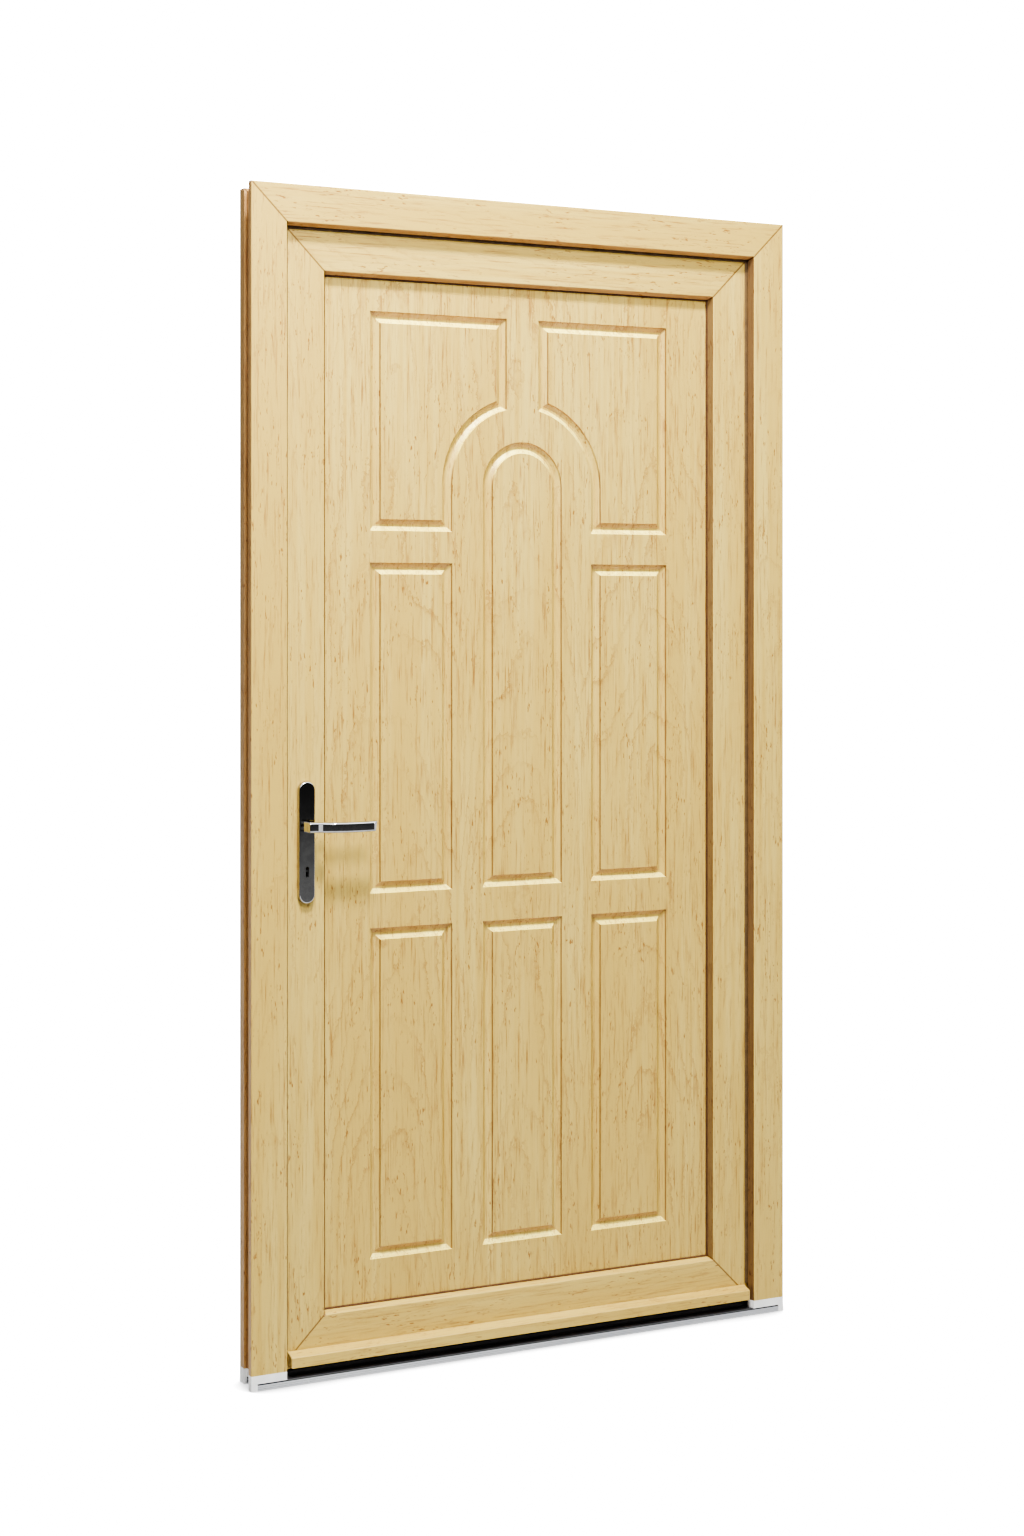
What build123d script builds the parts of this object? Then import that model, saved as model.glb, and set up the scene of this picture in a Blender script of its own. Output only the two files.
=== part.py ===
# A panelled front door in its frame, made of foiled PVC profiles with an aluminium threshold.
# The origin is under the middle of the threshold, +Z is up, -Y is the outside of the house and
# +X is to the right as seen from outside. The leaf hangs on the right and opens inwards.
#
# Sections of frame and leaf are drawn in u and v: u runs inwards from the outer edge of the
# frame, and v runs from the frame's outer face towards the inside of the house.
import math
import os

from build123d import *

# Frame
frame_width = 1100.0
frame_height = 2100.0
frame_depth = 70.0
frame_face = 67.0
reveal_slope = 5.0
stop_depth = 18.0
rebate_edge = 48.0
frame_flange_depth = 13.0
frame_back_recess = 12.0
frame_rear_set_in = 6.0
frame_rear_depth = 20.0
frame_rear_wall = 12.0
arris_radius = 2.2
pvc_wall = 3.0
screw_port_radius = 2.5
screw_port_u = 27.0

# Leaf
leaf_edge = 60.0
leaf_face = 86.0
leaf_depth = 70.0
leaf_bottom = 24.0
leaf_core = 71.0
leaf_flange = 20.0
leaf_flange_depth = 18.0
lip_depth = 13.0
lip_slope = 5.0
frame_seal_gap = 3.0

# Steel inside the profiles
steel_wall = 2.0
frame_steel_play = 0.5
leaf_steel_play = 0.3
steel_end_gap = 8.0

# Infill panel, its beads and gaskets
panel_thickness = 24.0
panel_play = 5.0
glazing_gasket = 3.0
bead_height = 20.0
bead_wall = 3.0
bead_slope = 7.0
gasket_nose = 3.0
gasket_bite = 12.0
block_length = 100.0
block_from_corner = 160.0

# Carved fields of the panel, the same on both faces
groove_width = 21.0
groove_depth = 7.5
quirk_width = 1.6
quirk_depth = 3.2
groove_flat = 4.0
field_side_margin = 105.6
field_inner_x = 144.5
centre_field_half = 82.4
upper_field_inner_x = 33.0
arch_centre_from_top = 382.0
upper_field_foot_from_top = 467.0
field_top_margin = 73.5
middle_field_foot = 747.0
middle_field_head_from_top = 524.0
field_bottom_margin = 92.5
lower_field_head = 685.0

# Gaskets between frame and leaf
seal_clearance = 0.3
frame_gasket_width = 14.0
frame_gasket_set_back = 2.0
leaf_gasket_width = 6.0
leaf_gasket_set_back = 1.0

# Threshold
threshold_base_height = 10.0
threshold_wall = 1.8
threshold_groove = 1.2
cover_thickness = 2.5
cover_set_back = 1.0
ridge_height = 6.5
ridge_from_front = 26.0
ridge_depth = 8.0
end_block_height = 27.0
end_block_play = 0.3
threshold_screw_length = 62.0

# Seal and weather bar at the foot of the leaf
bottom_seal_depth = 8.0
bottom_seal_from_front = 37.0
bottom_seal_carrier = 4.0
bar_bottom = 30.0
bar_front_top = 48.5
bar_top = 55.0
bar_projection = 20.5
bar_end_gap = 9.0
bar_wall = 2.5
bar_cap_thickness = 2.5
bar_cap_chamfer = 1.2

# Lock, measured on the leaf: its axis plane lies at lock_v
lock_v = 49.0
backset = 50.0
lever_z = 975.5
cylinder_z = 890.5
faceplate_thickness = 2.5
faceplate_width = 16.0
faceplate_overhang = 36.0
faceplate_screw_inset = 9.0
case_width = 15.0
case_wall = 1.2
case_depth = 64.0
case_below_cylinder = 30.5
case_above_lever = 48.5
pocket_play = 0.5
bolt_thickness = 12.0
bolt_play = 0.3
latch_above_lever = 24.5
latch_height = 30.0
latch_throw = 8.5
latch_length = 31.0
latch_tail_height = 8.5
follower_gap = 1.0
latch_post_gap = 1.2
latch_post_width = 4.0
deadbolt_above_cylinder = 34.5
deadbolt_height = 30.0
deadbolt_length = 40.0
deadbolt_throw = 20.0
deadbolt_set_back = 0.5
deadbolt_chamfer = 0.8

# Spindle, follower and levers
spindle_size = 8.0
spindle_play = 0.05
hub_radius = 10.0
hub_journal_radius = 9.0
running_play = 0.05
finger_length = 15.0
finger_width = 5.0
finger_rest_angle = 20.0
plate_width = 30.0
plate_below_cylinder = 51.0
plate_above_lever = 78.0
plate_thickness = 9.0
plate_front_wall = 1.8
plate_side_wall = 2.2
plate_rim = 2.2
neck_radius = 8.0
lever_reach = 38.0
collar_length = 10.0
lever_thickness = 9.0
lever_height = 18.5
lever_length = 119.0
lever_bow = 1.4
lever_droop = 2.0
lever_slant = 3.0
lever_edge = 3.8
root_half = 10.5
root_edge = 2.0
root_face = 5.5
bend_length = 9.0
bend_dip = 2.2
tip_bevel = 6.0
plate_screw_inset = 14.0
plate_screw_radius = 2.5
plate_boss_radius = 5.5
key_slot_width = 6.0
key_slot_height = 19.0
key_slot_raised = 4.0

# Profile cylinder
cylinder_outside = 35.0
cylinder_inside = 49.0
cylinder_radius = 8.5
cylinder_web = 10.0
cylinder_drop = 24.5
plug_radius = 6.5
cam_width = 10.0
cam_radius = 8.4
cam_reach = 12.3
cam_tooth = 8.0
keyway_width = 3.0
keyway_height = 8.0
keyway_depth = 25.0
cylinder_screw_drop = 20.0

# Lock keep with its day catch
keep_thickness = 7.5
keep_outer_v = 31.0
keep_inner_v = 67.0
keep_below_deadbolt = 45.0
keep_above_latch = 46.0
keep_play = 1.0
keep_screw_v = 36.5
keep_screw_inset = 10.0
keep_screw_above_deadbolt = 37.0
keep_corner = 4.0
catch_v = 55.6
catch_foot = 9.8
catch_stem = 5.8
catch_foot_thickness = 3.0
catch_height = 26.0
catch_play = 0.3

# Hinges
hinge_from_end = 260.0
hinge_corner = 4.0
hinge_frame_screw_pitch = 38.0
hinge_leaf_screw_x = 18.0
hinge_leaf_screw_z = 32.0
hinge_axis_u = 34.0
hinge_axis_v = 100.0
hinge_pin_radius = 6.0
knuckle_radius = 8.5
hinge_half_height = 50.0
leaf_knuckle_half = 24.0
knuckle_gap = 0.5
hinge_plate = 4.0
hinge_arm_gap = 2.5
frame_plate_width = 29.0
leaf_plate_width = 58.0
leaf_plate_half = 46.0
leaf_plate_gap = 12.0
pin_head_radius = 8.5
pin_head = 3.0
pin_head_round = 1.5

# Fixing holes through the frame for the wall
fixing_radius = 5.25
fixing_v = 40.0
fixing_from_end = 250.0
fixing_inner_pitch = 500.0
fixing_from_head_end = 200.0

# Screws: shank radius, head radius, head height, length
frame_screw = (2.4, 4.6, 2.6)
small_screw = (2.0, 3.9, 2.1)
keep_screw_length = 22.0
faceplate_screw_length = 26.0
frame_hinge_screw_length = 26.0
leaf_hinge_screw_length = 30.0
screw_play = 0.1

# Places worked out from the sizes above
half_width = frame_width / 2
outer_y = -frame_depth / 2
leaf_v = stop_depth + frame_seal_gap
leaf_back_v = leaf_v + leaf_depth
flange_v = leaf_back_v - leaf_flange_depth
rebate_base = leaf_edge + leaf_core
lip_v = leaf_v + lip_depth
panel_v = lip_v + glazing_gasket
bead_v = panel_v + panel_thickness + glazing_gasket
panel_edge = rebate_base + panel_play
leaf_origin_z = leaf_bottom - leaf_edge
cover_top = threshold_base_height + cover_thickness
leaf_edge_x = -half_width + leaf_edge
rebate_x = -half_width + rebate_edge
face_x = leaf_edge_x - faceplate_thickness
lock_y = outer_y + lock_v
plate_v = leaf_v - plate_thickness
handle_middle_v = (leaf_v + leaf_back_v) / 2
hinge_x = half_width - hinge_axis_u
steel_v0 = stop_depth + frame_steel_play
steel_v1 = frame_depth - frame_rear_wall - frame_steel_play
panel_half_width = half_width - panel_edge
panel_bottom = leaf_origin_z + panel_edge
panel_top = frame_height - panel_edge
field_outer_x = panel_half_width - field_side_margin
upper_field_top = panel_top - field_top_margin
lower_field_bottom = panel_bottom + field_bottom_margin
arch_centre_z = panel_top - arch_centre_from_top
upper_field_bottom = panel_top - upper_field_foot_from_top
middle_field_top = panel_top - middle_field_head_from_top
middle_field_bottom = panel_bottom + middle_field_foot
lower_field_top = panel_bottom + lower_field_head
bar_half_length = half_width - frame_face - bar_end_gap
handle_x = leaf_edge_x + backset
case_back_x = leaf_edge_x + case_depth
case_bottom = cylinder_z - case_below_cylinder
case_top = lever_z + case_above_lever
faceplate_bottom = case_bottom - faceplate_overhang
faceplate_top = case_top + faceplate_overhang
latch_z = lever_z + latch_above_lever
latch_tail_bottom = lever_z + finger_length + follower_gap
latch_post_foot = lever_z + hub_radius + follower_gap
deadbolt_z = cylinder_z + deadbolt_above_cylinder
plate_bottom = cylinder_z - plate_below_cylinder
plate_top = lever_z + plate_above_lever
keep_bottom = deadbolt_z - keep_below_deadbolt
keep_top = latch_z + keep_above_latch
keep_screw_zs = (keep_bottom + keep_screw_inset, deadbolt_z + keep_screw_above_deadbolt,
                 keep_top - keep_screw_inset)
hinge_zs = (hinge_from_end, frame_height / 2, frame_height - hinge_from_end)
fixing_outer_zs = (fixing_from_end, frame_height - fixing_from_end)
fixing_inner_zs = tuple(frame_height / 2 + side * fixing_inner_pitch / 2 for side in (-1, 1))
fixing_head_xs = tuple(side * (half_width - fixing_from_head_end) for side in (-1, 1))


def y_at(v):
    """Y of a depth v behind the frame's outer face."""
    return outer_y + v


def block(x0, x1, v0, v1, z0, z1):
    """A plain box between two X, two depths and two heights."""
    size = Box(x1 - x0, v1 - v0, z1 - z0, align=(Align.MIN, Align.MIN, Align.MIN))
    return Pos(x0, y_at(v0), z0) * size


def rod(x, v0, v1, z, radius):
    """A round rod along Y."""
    plane = Plane(origin=(x, y_at(v0), z), x_dir=(1, 0, 0), z_dir=(0, 1, 0))
    return extrude(plane * Circle(radius), amount=v1 - v0)


def across(v, z, x0, x1, radius):
    """A round rod along X."""
    plane = Plane(origin=(x0, y_at(v), z), x_dir=(0, 1, 0), z_dir=(1, 0, 0))
    return extrude(plane * Circle(radius), amount=x1 - x0)


def upright(x, v, z0, z1, radius):
    """A round rod along Z."""
    return Pos(x, y_at(v), z0) * extrude(Circle(radius), amount=z1 - z0)


def polygon(*points):
    """A flat face through its corner points."""
    return make_face(Polyline(*points, close=True))


def round_corners(face, corners, radius):
    """Round the named corners of a flat face."""
    picked = [face.vertices().sort_by_distance((u, v, 0))[0] for u, v in corners]
    return fillet(picked, radius)


def bar(face, start, end, mitre_start, mitre_end):
    """Draw a section out along w; a mitred end is cut at 45 degrees through the line u = 0."""
    solid = Pos(0, 0, start) * extrude(face, amount=end - start)
    if mitre_start:
        solid = split(solid, Plane(origin=(0, 0, start), z_dir=(-1, 0, 1)), keep=Keep.TOP)
    if mitre_end:
        solid = split(solid, Plane(origin=(0, 0, end), z_dir=(-1, 0, -1)), keep=Keep.TOP)
    return solid


def stand(solid, side, bottom=0.0):
    """Put a bar at one side of the door: u points inwards from that side's outer edge."""
    inward, origin = {
        "left": ((1, 0, 0), (-half_width, outer_y, bottom)),
        "right": ((-1, 0, 0), (half_width, outer_y, frame_height)),
        "top": ((0, 0, -1), (-half_width, outer_y, frame_height)),
        "bottom": ((0, 0, 1), (half_width, outer_y, bottom)),
    }[side]
    along = Vector(*inward).cross(Vector(0, 1, 0))
    return Plane(origin=origin, x_dir=inward, z_dir=along).location * solid


def screw(point, direction, length, sizes):
    """A countersunk screw, its head flush at the point, with a cross recess."""
    shank, head, height = sizes
    plane = Plane(origin=point, z_dir=direction)
    body = Cone(head, shank, height, align=(Align.CENTER, Align.CENTER, Align.MIN))
    body += Cylinder(shank, length, align=(Align.CENTER, Align.CENTER, Align.MIN))
    for turn in (0, 90):
        slot = Box(head * 1.1, head * 0.22, height * 0.8)
        body -= Rot(0, 0, turn) * slot
    return plane.location * body


def screw_hole(point, direction, length, sizes):
    """The hole for such a screw, with its countersink."""
    shank, head, height = sizes
    plane = Plane(origin=point, z_dir=direction)
    hole = Cone(head, shank, height, align=(Align.CENTER, Align.CENTER, Align.MIN))
    hole += Cylinder(shank + screw_play, length + 1, align=(Align.CENTER, Align.CENTER, Align.MIN))
    return plane.location * hole


def cut(solid, tools):
    """Take a list of tools away from a solid."""
    for tool in tools:
        solid = solid - tool
    return solid


# Frame profile: face, stop with a leaning reveal, rebate, and a recess at its back
def frame_outline():
    tip = frame_face + reveal_slope
    rear_v = frame_depth - frame_rear_depth
    face = polygon(
        (0, 0), (frame_face, 0), (tip, stop_depth), (rebate_edge, stop_depth),
        (rebate_edge, frame_depth), (frame_rear_set_in, frame_depth), (frame_rear_set_in, rear_v),
        (frame_back_recess, rear_v), (frame_back_recess, frame_flange_depth), (0, frame_flange_depth),
    )
    corners = [(0, 0), (frame_face, 0), (tip, stop_depth), (rebate_edge, frame_depth)]
    return round_corners(face, corners, arris_radius)


def frame_section():
    inner = frame_back_recess + pvc_wall
    rear = frame_depth - frame_rear_wall
    web = screw_port_u + screw_port_radius + 2 * pvc_wall
    slope = reveal_slope * (stop_depth - 2 * pvc_wall) / stop_depth
    face_chamber = polygon(
        (web, pvc_wall), (frame_face - pvc_wall, pvc_wall),
        (frame_face - pvc_wall + slope, stop_depth - pvc_wall), (web, stop_depth - pvc_wall),
    )
    main_chamber = polygon(
        (inner, stop_depth), (rebate_edge - pvc_wall, stop_depth),
        (rebate_edge - pvc_wall, rear), (inner, rear),
    )
    face = frame_outline() - face_chamber - main_chamber
    for port_v in (stop_depth / 2, frame_depth - frame_rear_wall / 2):
        face -= Pos(screw_port_u, port_v) * Circle(screw_port_radius)
    return face


def box_steel(u0, u1, v0, v1):
    """A square tube that stiffens a profile."""
    outer = polygon((u0, v0), (u1, v0), (u1, v1), (u0, v1))
    w = steel_wall
    return outer - polygon((u0 + w, v0 + w), (u1 - w, v0 + w), (u1 - w, v1 - w), (u0 + w, v1 - w))


def frame_steel_section():
    u0 = frame_back_recess + pvc_wall + frame_steel_play
    u1 = rebate_edge - pvc_wall - frame_steel_play
    return box_steel(u0, u1, steel_v0, steel_v1), u1


# Holes that the frame and its steel share
def fixing_holes(side):
    """Holes for the wall screws, right through the rebate of one jamb or of the head."""
    reach = rebate_edge + 1
    if side == "top":
        return [upright(x, fixing_v, frame_height - reach, frame_height, fixing_radius)
                for x in fixing_head_xs]
    x0, x1 = (-half_width, -half_width + reach) if side == "left" else (half_width - reach, half_width)
    return [across(fixing_v, z, x0, x1, fixing_radius) for z in fixing_outer_zs + fixing_inner_zs]


def keep_screw_points():
    return [(rebate_x + keep_thickness, y_at(keep_screw_v), z) for z in keep_screw_zs]


def deadbolt_pocket():
    """Room for the thrown deadbolt in the keep, the jamb and its steel."""
    half_v = bolt_thickness / 2 + keep_play
    half_z = deadbolt_height / 2 + keep_play
    deep = face_x + deadbolt_set_back - deadbolt_throw - 2 * keep_play
    return block(deep, rebate_x + keep_thickness + 1, lock_v - half_v, lock_v + half_v,
                 deadbolt_z - half_z, deadbolt_z + half_z)


def frame_hinge_screw_points():
    x = half_width - (frame_rear_set_in + frame_back_recess + steel_wall)
    return [(x, y_at(frame_depth + hinge_plate), z + dz) 
            for z in hinge_zs for dz in (-hinge_frame_screw_pitch, 0, hinge_frame_screw_pitch)]


def frame_side(side):
    """Tools that cut one member of the frame."""
    tools = fixing_holes(side)
    if side == "left":
        tools.append(deadbolt_pocket())
        tools += [screw_hole(p, (-1, 0, 0), keep_screw_length, small_screw) for p in keep_screw_points()]
    if side == "right":
        tools += [screw_hole(p, (0, -1, 0), frame_hinge_screw_length, frame_screw)
                  for p in frame_hinge_screw_points()]
    return tools


def make_frame():
    nodes = {}
    section = frame_section()
    steel, steel_u = frame_steel_section()
    length = frame_height
    nodes["frame_jamb_left"] = stand(bar(section, end_block_height, length, False, True), "left")
    nodes["frame_jamb_right"] = stand(bar(section, 0, length - end_block_height, True, False), "right")
    nodes["frame_head"] = stand(bar(section, 0, frame_width, True, True), "top")
    corner = steel_u + steel_end_gap
    foot = end_block_height + steel_end_gap
    nodes["frame_steel_left"] = stand(bar(steel, foot, length - corner, False, False), "left")
    nodes["frame_steel_right"] = stand(bar(steel, corner, length - foot, False, False), "right")
    nodes["frame_steel_head"] = stand(bar(steel, corner, frame_width - corner, False, False), "top")
    for name, side in (("left", "left"), ("right", "right"), ("head", "top")):
        tools = frame_side(side)
        member = "frame_head" if side == "top" else "frame_jamb_" + name
        nodes[member] = cut(nodes[member], tools)
        nodes["frame_steel_" + name] = cut(nodes["frame_steel_" + name], tools)
    return nodes


# Gasket on the stop, with its lip just clear of the leaf
def make_frame_gasket():
    u1 = frame_face + reveal_slope - frame_gasket_set_back
    u0 = u1 - frame_gasket_width
    v1 = leaf_v - seal_clearance
    section = polygon((u0, stop_depth), (u1 - 1, stop_depth), (u1, stop_depth + 1), (u1 - 1.5, v1), (u0, v1))
    foot = cover_top + end_block_play
    left = stand(bar(section, foot, frame_height, False, True), "left")
    right = stand(bar(section, 0, frame_height - foot, True, False), "right")
    head = stand(bar(section, 0, frame_width, True, True), "top")
    return left + head + right


# Threshold: an aluminium base, a black cover with a water ridge, and moulded end blocks
def threshold_screw_points():
    x = half_width - screw_port_u
    vs = (stop_depth / 2, frame_depth - frame_rear_wall / 2)
    return [(side * x, y_at(v), 0.0) for side in (-1, 1) for v in vs]


def make_threshold():
    nodes = {}
    end = half_width - frame_back_recess
    h = threshold_base_height
    t = threshold_wall
    plane = Plane(origin=(-end, outer_y, 0), x_dir=(0, 1, 0), z_dir=(1, 0, 0))
    section = polygon((0, 0), (frame_depth, 0), (frame_depth, h), (0, h))
    chamber = (frame_depth - 4 * t) / 3
    for i in range(3):
        v0 = t + i * (chamber + t)
        section -= polygon((v0, t), (v0 + chamber, t), (v0 + chamber, h - t), (v0, h - t))
    for z in (h * 0.3, h * 0.62):
        g = threshold_groove
        section -= polygon((-1, z), (g, z), (g, z + g), (-1, z + g))
    holes = [screw_hole(p, (0, 0, 1), threshold_screw_length, frame_screw)
             for p in threshold_screw_points()]
    nodes["threshold_base"] = cut(extrude(plane * section, amount=2 * end), holes)

    front, back = cover_set_back, frame_depth - cover_set_back
    ridge = ridge_from_front
    flat = polygon((front, h), (back, h), (back, cover_top - 1), (back - 1, cover_top),
                   (front + 1, cover_top), (front, cover_top - 1))
    cover = extrude(plane * flat, amount=2 * end)
    hump = polygon((ridge, h + 1), (ridge + ridge_depth, h + 1),
                   (ridge + ridge_depth - 1, cover_top + ridge_height),
                   (ridge + 1, cover_top + ridge_height))
    ridge_end = frame_width - 2 * (rebate_edge + end_block_play)
    cover += Pos(end - ridge_end / 2, 0, 0) * extrude(plane * hump, amount=ridge_end)
    nodes["threshold_cover"] = cut(cover, holes)

    body = Pos(0, 0, 0) * extrude(frame_outline(), amount=end_block_height)
    gap = end + end_block_play
    notch = block(-gap, gap, -1, frame_depth + 1, -1, cover_top)
    for side in ("left", "right"):
        solid = stand(body, "left")
        if side == "right":
            solid = mirror(solid, about=Plane.YZ)
        nodes["threshold_end_block_" + side] = cut(solid, [notch] + holes)
    nodes["threshold_screws"] = [screw(p, (0, 0, 1), threshold_screw_length, frame_screw)
                                 for p in threshold_screw_points()]
    return nodes


# Leaf profile: it laps the frame inside, and carries the panel behind a leaning lip
def leaf_outline(with_flange):
    arris = leaf_edge + leaf_face
    points = [
        (leaf_edge, leaf_v), (arris, leaf_v), (arris + lip_slope, lip_v), (rebate_base, lip_v),
        (rebate_base, leaf_back_v),
    ]
    if with_flange:
        tip = leaf_edge - leaf_flange
        points += [(tip, leaf_back_v), (tip, flange_v), (leaf_edge, flange_v)]
        rounds = [(arris, leaf_v), (tip, leaf_back_v)]
    else:
        points += [(leaf_edge, leaf_back_v)]
        rounds = [(arris, leaf_v), (leaf_edge, leaf_back_v)]
    return round_corners(polygon(*points), rounds, arris_radius)


def leaf_section(with_flange):
    w = pvc_wall
    inner_v = flange_v - w - 1
    u1 = rebate_base - w
    main_chamber = polygon((leaf_edge + w, leaf_v + w), (u1, leaf_v + w), (u1, inner_v), (leaf_edge + w, inner_v))
    back_u = leaf_edge - leaf_flange + w if with_flange else leaf_edge + w
    back_v0, back_v1 = inner_v + w, leaf_back_v - w
    if with_flange:
        back_v0 = flange_v + w
    back_chamber = polygon((back_u, back_v0), (u1, back_v0), (u1, back_v1), (back_u, back_v1))
    lean = lip_slope * (lip_depth - 2 * w) / lip_depth
    lip_u = leaf_edge + leaf_face - w
    lip_chamber = polygon((rebate_base, leaf_v + w), (lip_u, leaf_v + w),
                          (lip_u + lean, lip_v - w), (rebate_base, lip_v - w))
    return leaf_outline(with_flange) - main_chamber - back_chamber - lip_chamber


def leaf_steel_section():
    p = pvc_wall + leaf_steel_play
    u1 = rebate_base - p
    return box_steel(leaf_edge + p, u1, leaf_v + p, flange_v - p - 1), u1


def euro_face(grow):
    """Outline of the profile cylinder, made larger by grow."""
    drop = cylinder_drop - cylinder_web / 2
    web = Pos(0, -drop / 2) * Rectangle(cylinder_web + 2 * grow, drop)
    foot = Pos(0, -drop) * Circle(cylinder_web / 2 + grow)
    return Circle(cylinder_radius + grow) + web + foot


def euro_bar(v0, v1, grow=0.0):
    plane = Plane(origin=(handle_x, y_at(v1), cylinder_z), x_dir=(1, 0, 0), z_dir=(0, -1, 0))
    return extrude(plane * euro_face(grow), amount=v1 - v0)


def plate_screw_zs():
    return (plate_bottom + plate_screw_inset, plate_top - plate_screw_inset)


def leaf_hinge_screw_points():
    middle = hinge_x - leaf_plate_gap - leaf_plate_width / 2
    v = leaf_back_v + hinge_plate
    return [(middle + dx, y_at(v), z + dz)
            for z in hinge_zs for dx in (-hinge_leaf_screw_x, hinge_leaf_screw_x)
            for dz in (-hinge_leaf_screw_z, hinge_leaf_screw_z)]


def faceplate_screw_points():
    return [(face_x, lock_y, z) for z in (faceplate_bottom + faceplate_screw_inset, faceplate_top - faceplate_screw_inset)]


def lock_stile_tools():
    """Everything that is cut through the lock stile and its steel."""
    before, after = leaf_v - 1, leaf_back_v + 1
    half = case_width / 2 + pocket_play
    tools = [
        block(face_x, case_back_x + pocket_play, lock_v - half, lock_v + half,
              case_bottom - pocket_play, case_top + pocket_play),
        rod(handle_x, before, after, lever_z, hub_radius),
        euro_bar(before, after, pocket_play),
    ]
    tools += [rod(handle_x, before, after, z, plate_screw_radius + pocket_play) for z in plate_screw_zs()]
    tools += [screw_hole(p, (1, 0, 0), faceplate_screw_length, small_screw)
              for p in faceplate_screw_points()]
    return tools


def make_leaf_frame():
    nodes = {}
    height = frame_height - leaf_origin_z
    steel, steel_u = leaf_steel_section()
    corner = steel_u + steel_end_gap
    side_bar = bar(leaf_section(True), 0, height, True, True)
    side_steel = bar(steel, corner, height - corner, False, False)
    trim = block(-half_width, half_width, 0, leaf_back_v + 1, leaf_origin_z - 1, leaf_bottom)
    hinge_tools = [screw_hole(p, (0, -1, 0), leaf_hinge_screw_length, frame_screw)
                   for p in leaf_hinge_screw_points()]
    for name, side, tools in (("lock", "left", lock_stile_tools()), ("hinge", "right", hinge_tools)):
        stile = stand(side_bar, side, leaf_origin_z) - trim
        nodes["leaf_stile_" + name] = cut(stile, tools)
        nodes["leaf_steel_" + name] = cut(stand(side_steel, side, leaf_origin_z), tools)
    nodes["leaf_rail_top"] = stand(bar(leaf_section(True), 0, frame_width, True, True), "top")
    nodes["leaf_rail_bottom"] = stand(bar(leaf_section(False), 0, frame_width, True, True), "bottom", leaf_origin_z)
    rail_steel = bar(steel, corner, frame_width - corner, False, False)
    nodes["leaf_steel_top"] = stand(rail_steel, "top")
    nodes["leaf_steel_bottom"] = stand(rail_steel, "bottom", leaf_origin_z)
    return nodes


# Infill panel: one board with raised fields cut out of both faces by moulded grooves
def field_face(kind, inset, plane):
    """Outline of one raised field, moved in by inset."""
    i = inset
    if kind == "arch":
        half = centre_field_half - i
        low = middle_field_bottom + i
        lines = [Line((-half, low), (half, low)), Line((half, low), (half, arch_centre_z)),
                 ThreePointArc((half, arch_centre_z), (0, arch_centre_z + half), (-half, arch_centre_z)),
                 Line((-half, arch_centre_z), (-half, low))]
        return plane * make_face(lines)
    if kind == "upper":
        radius = field_inner_x + i
        left, right = -field_outer_x + i, -upper_field_inner_x - i
        low, high = upper_field_bottom + i, upper_field_top - i
        meet = arch_centre_z + math.sqrt(radius ** 2 - right ** 2)
        turn = math.radians(180 - math.degrees(math.atan2(meet - arch_centre_z, -right)) * 0.5)
        middle = (radius * math.cos(turn), arch_centre_z + radius * math.sin(turn))
        lines = [Line((left, low), (-radius, low)), Line((-radius, low), (-radius, arch_centre_z)),
                 ThreePointArc((-radius, arch_centre_z), middle, (right, meet)),
                 Line((right, meet), (right, high)), Line((right, high), (left, high)),
                 Line((left, high), (left, low))]
        return plane * make_face(lines)
    low, high = {"middle": (middle_field_bottom, middle_field_top),
                 "lower": (lower_field_bottom, lower_field_top),
                 "lower_centre": (lower_field_bottom, lower_field_top)}[kind]
    left, right = (-field_outer_x, -field_inner_x)
    if kind == "lower_centre":
        left, right = -centre_field_half, centre_field_half
    return plane * polygon((left + i, low + i), (right - i, low + i), (right - i, high - i), (left + i, high - i))


def groove(kind, face_y, inwards):
    """The moulded groove round one field: a steep quirk, a slope, a flat, and the same back up."""
    def level(inset, depth):
        plane = Plane(origin=(0, face_y + inwards * depth, 0), x_dir=(1, 0, 0), z_dir=(0, -1, 0))
        return field_face(kind, inset, plane)

    slope_width = (groove_width - groove_flat) / 2
    steps = [((0, 0), (quirk_width, quirk_depth)), ((quirk_width, quirk_depth), (slope_width, groove_depth))]
    tools = []
    for (in0, deep0), (in1, deep1) in steps:
        outer = loft([level(in0, deep0), level(in1, deep1)], ruled=True)
        field = loft([level(groove_width - in0, deep0), level(groove_width - in1, deep1)], ruled=True)
        tools.append(outer - field)
    return tools


def make_panel():
    panel = block(-panel_half_width, panel_half_width, panel_v, panel_v + panel_thickness,
                  panel_bottom, panel_top)
    for face_v, inwards in ((panel_v, 1), (panel_v + panel_thickness, -1)):
        for kind in ("arch", "upper", "middle", "lower", "lower_centre"):
            for tool in groove(kind, y_at(face_v), inwards):
                panel -= tool
                if kind in ("upper", "middle", "lower"):
                    panel -= mirror(tool, about=Plane.YZ)
    return panel


def ring(section, mitred=True):
    """One closed gasket round the panel."""
    height = frame_height - leaf_origin_z
    upright_bar = bar(section, 0, height, True, True)
    level_bar = bar(section, 0, frame_width, True, True)
    return (stand(upright_bar, "left", leaf_origin_z) + stand(level_bar, "top")
            + stand(upright_bar, "right") + stand(level_bar, "bottom", leaf_origin_z))


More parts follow.
